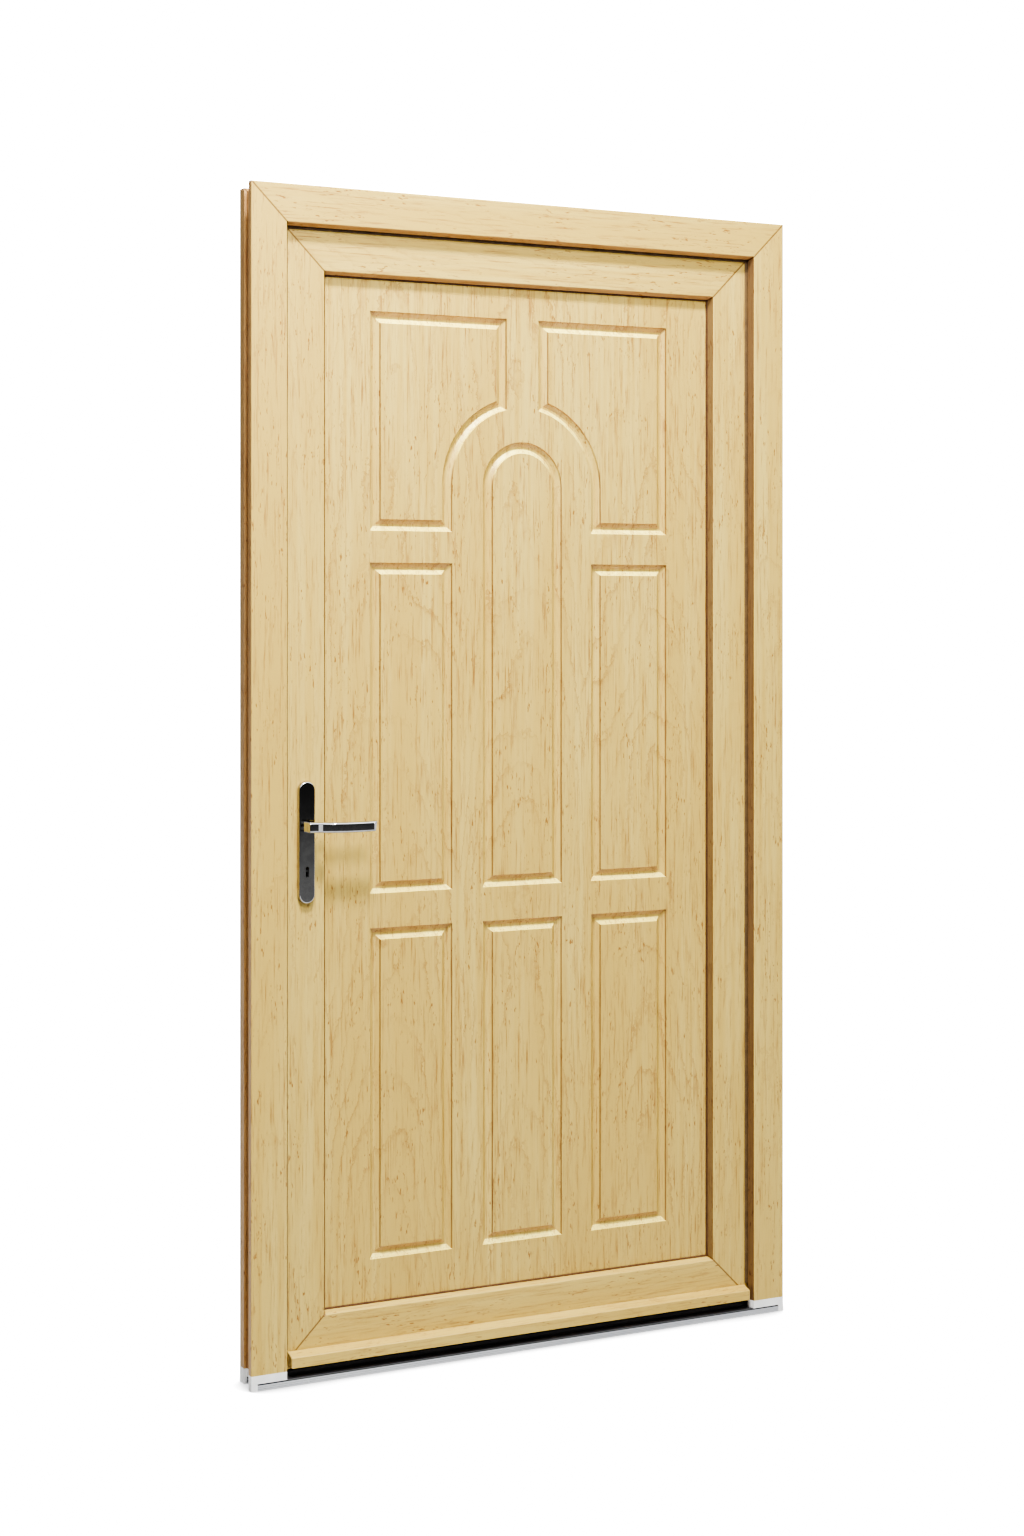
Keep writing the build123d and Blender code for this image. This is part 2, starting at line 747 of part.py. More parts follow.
def make_glazing():
    nodes = {}
    lip_edge = leaf_edge + leaf_face + lip_slope
    nose = lip_edge + gasket_nose
    outer = polygon((lip_edge - gasket_bite, lip_v), (lip_edge, lip_v), (nose - 1, lip_v + 0.4),
                    (nose, panel_v), (lip_edge - gasket_bite, panel_v))
    nodes["panel_outer_gasket"] = ring(outer)
    back = panel_v + panel_thickness
    bead_edge = rebate_base + bead_height
    inner = polygon((bead_edge - gasket_bite, back), (bead_edge + gasket_nose - 1, back),
                    (bead_edge, bead_v), (bead_edge - gasket_bite, bead_v))
    nodes["panel_inner_gasket"] = ring(inner)

    w = bead_wall
    step = bead_v + (leaf_back_v - bead_v) * 0.4
    top = bead_edge - bead_slope
    shape = polygon((rebate_base, bead_v), (bead_edge, bead_v), (bead_edge, step), (top, leaf_back_v),
                    (rebate_base, leaf_back_v))
    shape = round_corners(shape, [(bead_edge, step), (top, leaf_back_v)], arris_radius)
    hollow = polygon((rebate_base + w, bead_v + w), (bead_edge - w, bead_v + w), (bead_edge - w, step),
                     (top - w, leaf_back_v - w), (rebate_base + w, leaf_back_v - w))
    height = frame_height - leaf_origin_z
    side = bar(shape - hollow, 0, height, True, True)
    level = bar(shape - hollow, 0, frame_width, True, True)
    nodes["glazing_bead_left"] = stand(side, "left", leaf_origin_z)
    nodes["glazing_bead_right"] = stand(side, "right")
    nodes["glazing_bead_top"] = stand(level, "top")
    nodes["glazing_bead_bottom"] = stand(level, "bottom", leaf_origin_z)

    v0, v1 = panel_v, panel_v + panel_thickness
    x_in, x_out = panel_half_width, half_width - rebate_base
    floor = leaf_origin_z + rebate_base
    blocks = []
    for side in (-1, 1):
        x = side * (x_in - block_from_corner)
        blocks.append(block(x - block_length / 2, x + block_length / 2, v0, v1, floor, floor + panel_play))
        x0, x1 = sorted((side * x_in, side * x_out))
        for z in (floor + block_from_corner, frame_height - rebate_base - block_from_corner):
            blocks.append(block(x0, x1, v0, v1, z - block_length / 2, z + block_length / 2))
    nodes["setting_blocks"] = blocks
    return nodes


# Seals on the leaf: a gasket on the lap, and a seal under the bottom rail
def make_leaf_seals():
    u0 = leaf_edge - leaf_flange + leaf_gasket_set_back
    u1 = u0 + leaf_gasket_width
    v0 = frame_depth + seal_clearance
    section = polygon((u0, v0), (u1 - 2, v0), (u1, flange_v), (u0, flange_v))
    height = frame_height - leaf_origin_z
    foot = leaf_bottom - leaf_origin_z
    left = stand(bar(section, foot, height, False, True), "left", leaf_origin_z)
    right = stand(bar(section, 0, height - foot, True, False), "right")
    head = stand(bar(section, 0, frame_width, True, True), "top")

    end = half_width - leaf_edge - 2
    v0, v1 = bottom_seal_from_front, bottom_seal_from_front + bottom_seal_depth
    carrier = leaf_bottom - bottom_seal_carrier
    seal = block(-end, end, v0, v1, carrier, leaf_bottom)
    fin = bottom_seal_depth / 5
    for i in (1, 3):
        seal += block(-end, end, v0 + i * fin, v0 + (i + 1) * fin, cover_top + seal_clearance, carrier)
    return {"leaf_gasket": left + head + right, "leaf_bottom_seal": seal}


# Weather bar: a hollow moulding with a sloped top and two end caps
def make_weather_bar():
    front = leaf_v - bar_projection
    points = [(front, bar_bottom), (leaf_v, bar_bottom), (leaf_v, bar_top), (front + 1.5, bar_front_top + 0.5),
              (front, bar_front_top - 1)]
    w = bar_wall
    inside = [(front + w, bar_bottom + w), (leaf_v - w, bar_bottom + w), (leaf_v - w, bar_top - 1.4 * w),
              (front + w + 1, bar_front_top - w)]
    half = bar_half_length - bar_cap_thickness
    plane = Plane(origin=(-half, outer_y, 0), x_dir=(0, 1, 0), z_dir=(1, 0, 0))
    shell = extrude(plane * (polygon(*points) - polygon(*inside)), amount=2 * half)
    caps = []
    for side in (-1, 1):
        start = Plane(origin=(side * half, outer_y, 0), x_dir=(0, 1, 0), z_dir=(1, 0, 0))
        cap = extrude(start * polygon(*points), amount=side * bar_cap_thickness)
        outer = cap.faces().sort_by(Axis.X)[-1 if side > 0 else 0]
        edges = [e for e in outer.edges() if e.center().Y < y_at(leaf_v) - 0.1]
        caps.append(chamfer(edges, bar_cap_chamfer))
    return {"weather_bar": shell, "weather_bar_end_caps": caps}


# Lock: case, faceplate, follower, bolts
def make_lock():
    nodes = {}
    half = case_width / 2
    w = case_wall
    outer = block(leaf_edge_x, case_back_x, lock_v - half, lock_v + half, case_bottom, case_top)
    inner = block(leaf_edge_x - 1, case_back_x - w, lock_v - half + w, lock_v + half - w,
                  case_bottom + w, case_top - w)
    case = outer - inner
    case -= rod(handle_x, lock_v - half - 1, lock_v + half + 1, lever_z, hub_journal_radius + running_play)
    case -= euro_bar(lock_v - half - 1, lock_v + half + 1, bolt_play)
    nodes["lock_case"] = case

    plane = Plane(origin=(face_x, lock_y, (faceplate_top + faceplate_bottom) / 2),
                  x_dir=(0, 1, 0), z_dir=(1, 0, 0))
    outline = RectangleRounded(faceplate_width, faceplate_top - faceplate_bottom, faceplate_width / 2 - 1)
    plate = extrude(plane * outline, amount=faceplate_thickness)
    hole_v = bolt_thickness / 2 + bolt_play
    for z, height in ((latch_z, latch_height), (deadbolt_z, deadbolt_height)):
        hole_z = height / 2 + bolt_play
        plate -= block(face_x - 1, leaf_edge_x + 1, lock_v - hole_v, lock_v + hole_v, z - hole_z, z + hole_z)
    screw_z = cylinder_z - cylinder_screw_drop
    plate = cut(plate, [screw_hole(p, (1, 0, 0), faceplate_screw_length, small_screw)
                        for p in faceplate_screw_points()])
    cylinder_screw_point = (face_x, lock_y, screw_z)
    length = handle_x - face_x
    plate -= screw_hole(cylinder_screw_point, (1, 0, 0), length, frame_screw)
    nodes["lock_faceplate"] = plate
    nodes["faceplate_screws"] = [screw(p, (1, 0, 0), faceplate_screw_length, small_screw)
                                 for p in faceplate_screw_points()]
    nodes["cylinder_screw"] = screw(cylinder_screw_point, (1, 0, 0), length, frame_screw)
    return nodes


def make_latch():
    """Sprung latch: a bevelled head, a tail over the follower and a post that its finger pushes."""
    v0, v1 = lock_v - bolt_thickness / 2, lock_v + bolt_thickness / 2
    tip = face_x - latch_throw
    plane = Plane(origin=(0, 0, latch_z - latch_height / 2), x_dir=(1, 0, 0), z_dir=(0, 0, 1))
    head_end = tip + latch_length
    head = polygon((tip, y_at(v1)), (tip + 0.5, y_at(v1 - 2)), (face_x - 0.2, y_at(v0)),
                   (head_end, y_at(v0)), (head_end, y_at(v1)))
    bolt = extrude(plane * head, amount=latch_height)
    post_x = handle_x - latch_post_gap
    tail_top = latch_tail_bottom + latch_tail_height
    bolt += block(head_end - 1, post_x + latch_post_width, v0, v1, latch_tail_bottom, tail_top)
    bolt += block(post_x, post_x + latch_post_width, v0, v1, latch_post_foot, tail_top)
    return bolt


def make_deadbolt():
    v0, v1 = lock_v - bolt_thickness / 2, lock_v + bolt_thickness / 2
    tip = face_x + deadbolt_set_back
    bolt = block(tip, tip + deadbolt_length, v0, v1, deadbolt_z - deadbolt_height / 2,
                 deadbolt_z + deadbolt_height / 2)
    tip_edges = bolt.faces().sort_by(Axis.X)[0].edges()
    return chamfer(tip_edges, deadbolt_chamfer)


def square_hole(v0, v1, size):
    plane = Plane(origin=(handle_x, y_at(v0), lever_z), x_dir=(1, 0, 0), z_dir=(0, 1, 0))
    return extrude(plane * Rectangle(size, size), amount=v1 - v0)


def make_follower():
    half = bolt_thickness / 2
    journal = case_width / 2
    hub = rod(handle_x, lock_v - half, lock_v + half, lever_z, hub_radius)
    hub += rod(handle_x, lock_v - journal, lock_v + journal, lever_z, hub_journal_radius)
    finger = block(-finger_width / 2, finger_width / 2, 0, bolt_thickness, 0, finger_length)
    finger = Pos(0, -outer_y - half, 0) * finger
    hub += Pos(handle_x, lock_y, lever_z) * Rot(0, -finger_rest_angle, 0) * finger
    return hub - square_hole(lock_v - journal - 1, lock_v + journal + 1, spindle_size + 2 * spindle_play)


# Handle set: two plates, two levers and the spindle between them
def make_outside_plate():
    middle_z = (plate_top + plate_bottom) / 2
    height = plate_top - plate_bottom
    back = Plane(origin=(handle_x, y_at(leaf_v), middle_z), x_dir=(1, 0, 0), z_dir=(0, -1, 0))
    plate = extrude(back * SlotOverall(height, plate_width, rotation=90), amount=plate_thickness)
    front = plate.faces().sort_by(Axis.Y)[0]
    plate = fillet(front.edges(), plate_rim)
    w = plate_side_wall
    cavity = extrude(back * SlotOverall(height - 2 * w, plate_width - 2 * w, rotation=90),
                     amount=plate_thickness - plate_front_wall)
    shrink = cavity.faces().sort_by(Axis.Y)[0]
    cavity = fillet(shrink.edges(), plate_rim * 0.7)
    plate -= cavity
    for z in plate_screw_zs():
        plate += rod(handle_x, plate_v + plate_front_wall * 0.5, leaf_v, z, plate_boss_radius)
    plate -= rod(handle_x, plate_v - 1, leaf_v + 1, lever_z, neck_radius + running_play)
    slot = Plane(origin=(handle_x, y_at(leaf_v), cylinder_z + key_slot_raised), x_dir=(1, 0, 0), z_dir=(0, -1, 0))
    plate -= extrude(slot * SlotOverall(key_slot_height, key_slot_width, rotation=90),
                     amount=plate_thickness + 1)
    return plate


def make_lever_outside():
    """A round collar, a square root, and a flat arm that bends back and ends in a slanted tip."""
    front = plate_v - lever_reach
    root_back = plate_v - collar_length
    r = lever_height / 2
    tip = lever_length
    mid = tip / 2
    sag = lever_droop / 2
    facing = Plane(origin=(handle_x, y_at(root_back), lever_z), x_dir=(1, 0, 0), z_dir=(0, -1, 0))
    side_view = make_face([
        Line((-root_half, r), (-root_half, -r)),
        Line((-root_half, -r), (0, -r)),
        ThreePointArc((0, -r), (mid, -r - lever_bow - sag), (tip - lever_slant, -r - lever_droop)),
        Line((tip - lever_slant, -r - lever_droop), (tip, r - lever_droop)),
        ThreePointArc((tip, r - lever_droop), (mid, r - lever_bow - sag), (0, r)),
        Line((0, r), (-root_half, r)),
    ])
    arm_front = front + bend_dip
    arm_back = arm_front + lever_thickness
    bevel_dip = (tip_bevel + 1) * bend_dip / bend_length
    top_view = polygon((-root_half - 1, y_at(front)), (root_face, y_at(front)),
                       (root_face + bend_length, y_at(arm_front)), (tip - tip_bevel, y_at(arm_front)),
                       (tip + 1, y_at(arm_front + bevel_dip)), (tip + 1, y_at(arm_back)), (root_half, y_at(arm_back)),
                       (root_half, y_at(root_back)), (-root_half - 1, y_at(root_back)))
    arm = extrude(facing * side_view, amount=root_back - front)
    arm &= extrude(Pos(handle_x, 0, lever_z - 2 * r) * top_view, amount=4 * r)
    long_edges = [e for e in arm.edges() if e.center().Y < y_at(arm_front) + 0.01
                  and abs(e.center().Z - lever_z) > r * 0.7]
    arm = fillet(long_edges, lever_edge)
    root_edges = [e for e in arm.edges().filter_by(Axis.Y) if e.center().X < handle_x - root_half + 0.01]
    arm = fillet(root_edges, root_edge)
    lever = arm + rod(handle_x, root_back - 1, plate_v + plate_front_wall, lever_z, neck_radius)
    socket = square_hole(plate_v - lever_reach * 0.6, plate_v + plate_front_wall + 1,
                         spindle_size + 2 * spindle_play)
    return lever - socket


def make_handles():
    nodes = {}
    inside = Plane(origin=(0, y_at(handle_middle_v), 0), x_dir=(1, 0, 0), z_dir=(0, 1, 0))
    plain = make_outside_plate()
    holes = [rod(handle_x, plate_v + plate_front_wall, leaf_v + 1, z, plate_screw_radius)
             for z in plate_screw_zs()]
    nodes["outside_plate"] = cut(plain, holes)
    inner = mirror(plain, about=inside)
    plate_back = 2 * handle_middle_v - plate_v
    points = [(handle_x, y_at(plate_back), z) for z in plate_screw_zs()]
    length = plate_back - plate_v - plate_front_wall - 1
    sizes = (plate_screw_radius, plate_screw_radius * 1.7, plate_screw_radius)
    nodes["inside_plate"] = cut(inner, [screw_hole(p, (0, -1, 0), length, sizes) for p in points])
    nodes["plate_screws"] = [screw(p, (0, -1, 0), length, sizes) for p in points]
    nodes["lever_outside"] = make_lever_outside()
    nodes["lever_inside"] = mirror(nodes["lever_outside"], about=inside)
    start = plate_v - lever_reach * 0.6 + 1
    nodes["spindle"] = square_hole(start, 2 * handle_middle_v - start, spindle_size)
    nodes["spindle_follower"] = make_follower()
    return nodes


# Profile cylinder: body, and the plug with its cam between the two key ends
def make_cylinder():
    v0, v1 = lock_v - cylinder_outside, lock_v + cylinder_inside
    body = euro_bar(v0, v1)
    body -= rod(handle_x, v0 - 1, v1 + 1, cylinder_z, plug_radius + running_play)
    half = cam_width / 2 + running_play * 2
    room = cam_reach + bolt_play
    body -= block(handle_x - 2 * room, handle_x + 2 * room, lock_v - half, lock_v + half,
                  cylinder_z - room, cylinder_z + room)
    hole = screw_hole((face_x, lock_y, cylinder_z - cylinder_screw_drop), (1, 0, 0),
                      handle_x - face_x, frame_screw)
    plug = rod(handle_x, v0, v1, cylinder_z, plug_radius)
    cam_v0, cam_v1 = lock_v - cam_width / 2, lock_v + cam_width / 2
    plug += rod(handle_x, cam_v0, cam_v1, cylinder_z, cam_radius)
    tooth = block(handle_x - cam_tooth / 2, handle_x + cam_tooth / 2, cam_v0, cam_v1,
                  cylinder_z - cam_reach, cylinder_z)
    plug += tooth & rod(handle_x, cam_v0, cam_v1, cylinder_z, cam_reach)
    k = keyway_width / 2
    for start, end in ((v0 - 1, v0 + keyway_depth), (v1 - keyway_depth, v1 + 1)):
        plug -= block(handle_x - k, handle_x + k, start, end,
                      cylinder_z - keyway_height / 2, cylinder_z + keyway_height / 2)
    return {"cylinder_body": body - hole, "cylinder_plug": plug}


# Keep on the jamb: a pocket that is open to the room side, closed by a sliding day catch
def make_keep():
    nodes = {}
    top_x = rebate_x + keep_thickness
    keep = block(rebate_x, top_x, keep_outer_v, keep_inner_v, keep_bottom, keep_top)
    vertical = [e for e in keep.edges().filter_by(Axis.X)]
    keep = fillet(vertical, keep_corner)
    half = bolt_thickness / 2 + keep_play
    z0, z1 = latch_z - latch_height / 2 - keep_play, latch_z + latch_height / 2 + keep_play
    keep -= block(rebate_x - 1, top_x + 1, lock_v - half, keep_inner_v + 1, z0, z1)
    keep -= deadbolt_pocket()
    p = catch_play
    low = z0 + keep_play - catch_play - catch_height
    foot_v1 = catch_v + catch_foot + p
    keep -= block(rebate_x - 1, rebate_x + catch_foot_thickness + 2 * p, catch_v - p, foot_v1, low - p, z1)
    keep -= block(rebate_x - 1, top_x + 1, catch_v - p, catch_v + catch_stem + p, low - p, z1)
    keep = cut(keep, [screw_hole(q, (-1, 0, 0), keep_screw_length, small_screw) for q in keep_screw_points()])
    nodes["lock_keep"] = keep
    nodes["keep_screws"] = [screw(q, (-1, 0, 0), keep_screw_length, small_screw) for q in keep_screw_points()]
    foot = block(rebate_x + p, rebate_x + p + catch_foot_thickness, catch_v, catch_v + catch_foot,
                 low, low + catch_height)
    stem = block(rebate_x + p, top_x - p, catch_v, catch_v + catch_stem, low, low + catch_height)
    nodes["day_catch"] = foot + stem
    return nodes


# Hinges: plates on frame and leaf, interlocking knuckles and a pin through each
def make_hinges():
    nodes = {}
    arm_x = half_width - (leaf_edge - leaf_flange) + hinge_arm_gap
    plate_x = arm_x + frame_plate_width
    inner_z = leaf_knuckle_half + knuckle_gap
    frame_holes = [screw_hole(p, (0, -1, 0), frame_hinge_screw_length, frame_screw)
                   for p in frame_hinge_screw_points()]
    leaf_holes = [screw_hole(p, (0, -1, 0), leaf_hinge_screw_length, frame_screw)
                  for p in leaf_hinge_screw_points()]
    pins = []
    for name, z in zip(("lower", "middle", "upper"), hinge_zs):
        low, high = z - hinge_half_height, z + hinge_half_height
        part = block(arm_x, plate_x, frame_depth, frame_depth + hinge_plate, low, high)
        part = fillet(part.edges().filter_by(Axis.Y).group_by(Axis.X)[-1], hinge_corner)
        for z0, z1 in ((low, z - inner_z), (z + inner_z, high)):
            part += block(arm_x, hinge_x + knuckle_radius, frame_depth, hinge_axis_v, z0, z1)
            part += upright(hinge_x, hinge_axis_v, z0, z1, knuckle_radius)
        part -= upright(hinge_x, hinge_axis_v, low - 1, high + 1, hinge_pin_radius)
        nodes["hinge_frame_part_" + name] = cut(part, frame_holes)

        leaf_x = hinge_x - leaf_plate_gap
        flag = block(leaf_x - leaf_plate_width, leaf_x, leaf_back_v, leaf_back_v + hinge_plate,
                     z - leaf_plate_half, z + leaf_plate_half)
        flag = fillet(flag.edges().filter_by(Axis.Y), hinge_corner)
        flag += block(leaf_x - 1, hinge_x, leaf_back_v + 0.5, leaf_back_v + hinge_plate,
                      z - leaf_knuckle_half, z + leaf_knuckle_half)
        flag += upright(hinge_x, hinge_axis_v, z - leaf_knuckle_half, z + leaf_knuckle_half, knuckle_radius)
        flag -= upright(hinge_x, hinge_axis_v, low, high, hinge_pin_radius + running_play)
        nodes["hinge_leaf_part_" + name] = cut(flag, leaf_holes)

        pin = upright(hinge_x, hinge_axis_v, low, high, hinge_pin_radius)
        cap = upright(hinge_x, hinge_axis_v, high, high + pin_head, pin_head_radius)
        cap = fillet(cap.edges().group_by(Axis.Z)[-1], pin_head_round)
        pins.append(pin + cap)
    nodes["hinge_pins"] = pins
    nodes["hinge_frame_screws"] = [screw(p, (0, -1, 0), frame_hinge_screw_length, frame_screw)
                                   for p in frame_hinge_screw_points()]
    nodes["hinge_leaf_screws"] = [screw(p, (0, -1, 0), leaf_hinge_screw_length, frame_screw)
                                  for p in leaf_hinge_screw_points()]
    return nodes


def single(shape):
    """The one solid of a shape, or a group of its solids."""
    if isinstance(shape, list):
        return Compound(children=[s for item in shape for s in item.solids()])
    solids = shape.solids()
    return solids[0] if len(solids) == 1 else Compound(children=list(solids))


nodes = {}
nodes.update(make_frame())
nodes["frame_gasket"] = make_frame_gasket()
nodes.update(make_threshold())
nodes.update(make_keep())
nodes.update(make_leaf_frame())
nodes["infill_panel"] = make_panel()
nodes.update(make_glazing())
nodes.update(make_leaf_seals())
nodes.update(make_weather_bar())
nodes.update(make_lock())
nodes["latch_bolt"] = make_latch()
nodes["deadbolt"] = make_deadbolt()
nodes.update(make_handles())
nodes.update(make_cylinder())
nodes.update(make_hinges())

os.makedirs("parts", exist_ok=True)
for name, shape in nodes.items():
    export_step(single(shape), f"parts/{name}.step")
print(len(nodes), "nodes")
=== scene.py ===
import math

import bpy
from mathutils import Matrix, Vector


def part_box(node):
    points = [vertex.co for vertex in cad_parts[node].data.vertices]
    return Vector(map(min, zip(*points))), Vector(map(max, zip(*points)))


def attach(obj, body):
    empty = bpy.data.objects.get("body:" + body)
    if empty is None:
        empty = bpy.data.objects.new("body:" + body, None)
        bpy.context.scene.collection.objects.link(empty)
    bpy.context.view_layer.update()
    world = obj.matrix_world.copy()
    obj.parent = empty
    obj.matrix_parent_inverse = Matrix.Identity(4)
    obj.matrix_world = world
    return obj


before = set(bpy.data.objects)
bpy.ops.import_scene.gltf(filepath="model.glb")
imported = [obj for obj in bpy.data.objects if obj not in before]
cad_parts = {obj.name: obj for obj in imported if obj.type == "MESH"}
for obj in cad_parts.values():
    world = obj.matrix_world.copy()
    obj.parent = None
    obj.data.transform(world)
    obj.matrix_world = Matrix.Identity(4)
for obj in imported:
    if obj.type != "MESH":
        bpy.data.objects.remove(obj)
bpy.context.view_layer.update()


# Studio
# A white sweep of paper with two soft lights above and in front of the door, one on its room
# side and a narrow strip far to the right. The camera stands to the left, at the height of a
# standing person's chest, and is kept level.
room = bpy.context.scene
room.view_settings.view_transform = "AgX"
room.view_settings.look = "AgX - High Contrast"

lens = bpy.data.cameras.new("studio_camera")
lens.sensor_width = 36.0
lens.lens = 58.67
lens.shift_y = -0.1053
lens.clip_end = 200.0
camera = bpy.data.objects.new("studio_camera", lens)
camera.location = (-2.14477, -4.091, 1.36168)
camera.rotation_euler = (math.radians(90.0), 0.0, math.radians(-27.41))
room.collection.objects.link(camera)
room.camera = camera


def soft_light(name, place, target, width, height, power):
    """A white area light that looks from its place to a target."""
    light = bpy.data.lights.new(name, "AREA")
    light.shape = "RECTANGLE"
    light.size = width
    light.size_y = height
    light.energy = power
    lamp = bpy.data.objects.new(name, light)
    lamp.location = place
    lamp.rotation_euler = (Vector(target) - Vector(place)).to_track_quat("-Z", "Y").to_euler()
    room.collection.objects.link(lamp)


soft_light("front_softbox", (-0.55, -2.1, 3.1), (0.0, 0.0, 1.1), width=0.7, height=0.7, power=61.0)
soft_light("overhead_softbox", (-0.95, -1.9, 4.9), (-0.3, -0.2, 1.0), width=0.9, height=0.5, power=285.0)
soft_light("room_side_softbox", (1.2, 3.2, 2.8), (0.0, 0.0, 1.1), width=0.8, height=0.8, power=140.0)
soft_light("side_strip", (3.9, -3.6, 0.8), (-0.42, -0.06, 0.9), width=0.9, height=1.9, power=5.0)


def put(tree, kind, settings=None, values=None):
    """A node in a tree, with its settings and the values of its sockets."""
    node = tree.nodes.new(kind)
    for name, value in (settings or {}).items():
        setattr(node, name, value)
    for name, value in (values or {}).items():
        node.inputs[name].default_value = value
    return node


def sum_up(tree, operation, first, second=None, third=None, clamp=False):
    """A Math node whose inputs are sockets or numbers."""
    node = put(tree, "ShaderNodeMath", {"operation": operation, "use_clamp": clamp})
    for place, value in enumerate((first, second, third)):
        if value is None:
            continue
        if isinstance(value, (int, float)):
            node.inputs[place].default_value = value
        else:
            tree.links.new(value, node.inputs[place])
    return node.outputs[0]


def ramp(tree, value, low, high, bottom=0.0, top=1.0, way="SMOOTHSTEP"):
    """A value taken from one range to another."""
    node = put(tree, "ShaderNodeMapRange", {"interpolation_type": way},
               {"From Min": low, "From Max": high, "To Min": bottom, "To Max": top})
    tree.links.new(value, node.inputs["Value"])
    return node.outputs["Result"]


def mix_shaders(tree, share, first, second):
    """Two shaders, with the share of the second one."""
    mix = put(tree, "ShaderNodeMixShader")
    for place, value in enumerate((share, first, second)):
        tree.links.new(value, mix.inputs[place])
    return mix.outputs[0]


def axes_of(tree, vector):
    """The X, Y and Z of a vector, as a node with three outputs."""
    axes = put(tree, "ShaderNodeSeparateXYZ")
    tree.links.new(vector, axes.inputs[0])
    return axes


paper_light = 9.0
room_light = 0.2
wall_top, ceiling_start = 0.15, 0.6
mirrored_wall, mirrored_ceiling = 0.04, 3.4
white = (1.0, 1.0, 1.0, 1.0)

world = bpy.data.worlds.new("white_paper")
room.world = world
world.use_nodes = True
sky = world.node_tree
sky.nodes.clear()
seen = put(sky, "ShaderNodeLightPath")
lit = put(sky, "ShaderNodeBackground", values={"Color": white, "Strength": room_light})
heading = put(sky, "ShaderNodeTexCoord")
ceiling = ramp(sky, axes_of(sky, heading.outputs["Generated"]).outputs["Z"], wall_top,
               ceiling_start, mirrored_wall, mirrored_ceiling)
mirrored = put(sky, "ShaderNodeBackground")
sky.links.new(ceiling, mirrored.inputs["Strength"])
by_gloss = mix_shaders(sky, seen.outputs["Is Glossy Ray"], lit.outputs[0], mirrored.outputs[0])
shown = put(sky, "ShaderNodeBackground", values={"Color": white, "Strength": paper_light})
sky_out = put(sky, "ShaderNodeOutputWorld")
sky.links.new(mix_shaders(sky, seen.outputs["Is Camera Ray"], by_gloss, shown.outputs[0]),
              sky_out.inputs["Surface"])

paper_half_width = 9.0
paper_front = -10.3
paper_back = 14.0
paper_level = -0.0005
painted_shadow_reach, painted_shadow_light = 0.14, 0.9
# In glossy reflections the paper glows as two bands, a painted reflection, each from one depth and
# strength to another.
far_band = (paper_front, -6.4, 0.14, 0.26)
near_band = (-5.5, -2.5, 0.0, 0.8)

floor_mesh = bpy.data.meshes.new("paper_floor")
floor_mesh.from_pydata([(-paper_half_width, paper_front, paper_level),
                        (paper_half_width, paper_front, paper_level),
                        (paper_half_width, paper_back, paper_level),
                        (-paper_half_width, paper_back, paper_level)], [], [(0, 1, 2, 3)])
paper = bpy.data.objects.new("paper_floor", floor_mesh)
room.collection.objects.link(paper)
white_paper = bpy.data.materials.new("white_paper")
white_paper.use_nodes = True
page = white_paper.node_tree
page_skin = page.nodes["Principled BSDF"]
page_skin.inputs["Base Color"].default_value = (0.45, 0.45, 0.45, 1.0)
page_skin.inputs["Roughness"].default_value = 0.9
page_seen = put(page, "ShaderNodeLightPath")
# Near the door the paper's glow is dimmed by ambient occlusion: a painted contact shadow.
page_painted_shadow = put(page, "ShaderNodeAmbientOcclusion", {"samples": 8}, {"Distance": painted_shadow_reach})
page_light = put(page, "ShaderNodeEmission")
page.links.new(ramp(page, page_painted_shadow.outputs["AO"], 0.45, 0.98, painted_shadow_light, paper_light),
               page_light.inputs["Strength"])
page_depth = axes_of(page, put(page, "ShaderNodeTexCoord").outputs["Object"]).outputs["Y"]
page_far = ramp(page, page_depth, *far_band, way="LINEAR")
page_near = ramp(page, page_depth, *near_band, way="LINEAR")
page_painted_reflection = put(page, "ShaderNodeEmission")
page.links.new(sum_up(page, "ADD", page_far, page_near), page_painted_reflection.inputs["Strength"])
page_gloss = mix_shaders(page, page_seen.outputs["Is Glossy Ray"], page_skin.outputs[0],
                         page_painted_reflection.outputs[0])
page_shown = mix_shaders(page, page_seen.outputs["Is Camera Ray"], page_gloss,
                         page_light.outputs[0])
page.links.new(page_shown, page.nodes["Material Output"].inputs["Surface"])
floor_mesh.materials.append(white_paper)


# Frame profiles
# Two jambs and a head of white PVC, wrapped in a printed maple foil with a light emboss and
# welded at mitred corners. The grain runs along each profile.
def sockets(group, direction, names):
    """Named sockets of a node group, each with its kind and its first value."""
    for name, kind, value in names:
        socket = group.interface.new_socket(name, in_out=direction, socket_type="NodeSocket" + kind)
        if value is not None:
            socket.default_value = value


def blend_colours(tree, share, first, second, way="MIX"):
    """A colour mix whose inputs are sockets, colours or numbers."""
    node = put(tree, "ShaderNodeMix", {"data_type": "RGBA", "blend_type": way})
    for place, value in ((0, share), (6, first), (7, second)):
        if isinstance(value, (int, float, tuple)):
            node.inputs[place].default_value = value
        else:
            tree.links.new(value, node.inputs[place])
    return node.outputs[2]


def join_vectors(tree, operation, first, second):
    """A Vector Math node of a socket with a socket or with three numbers."""
    node = put(tree, "ShaderNodeVectorMath", {"operation": operation})
    tree.links.new(first, node.inputs[0])
    if isinstance(second, tuple):
        node.inputs[1].default_value = second
    else:
        tree.links.new(second, node.inputs[1])
    return node.outputs[0]


def stretched_noise(tree, vector, stretch, detail, roughness=0.5):
    """Noise stretched along each axis by its own factor, as a value."""
    noise = put(tree, "ShaderNodeTexNoise",
                values={"Scale": 1.0, "Detail": detail, "Roughness": roughness})
    tree.links.new(join_vectors(tree, "MULTIPLY", vector, stretch), noise.inputs["Vector"])
    return noise.outputs["Fac"]


def times(tree, first, second):
    """The product of two values."""
    return sum_up(tree, "MULTIPLY", first, second)


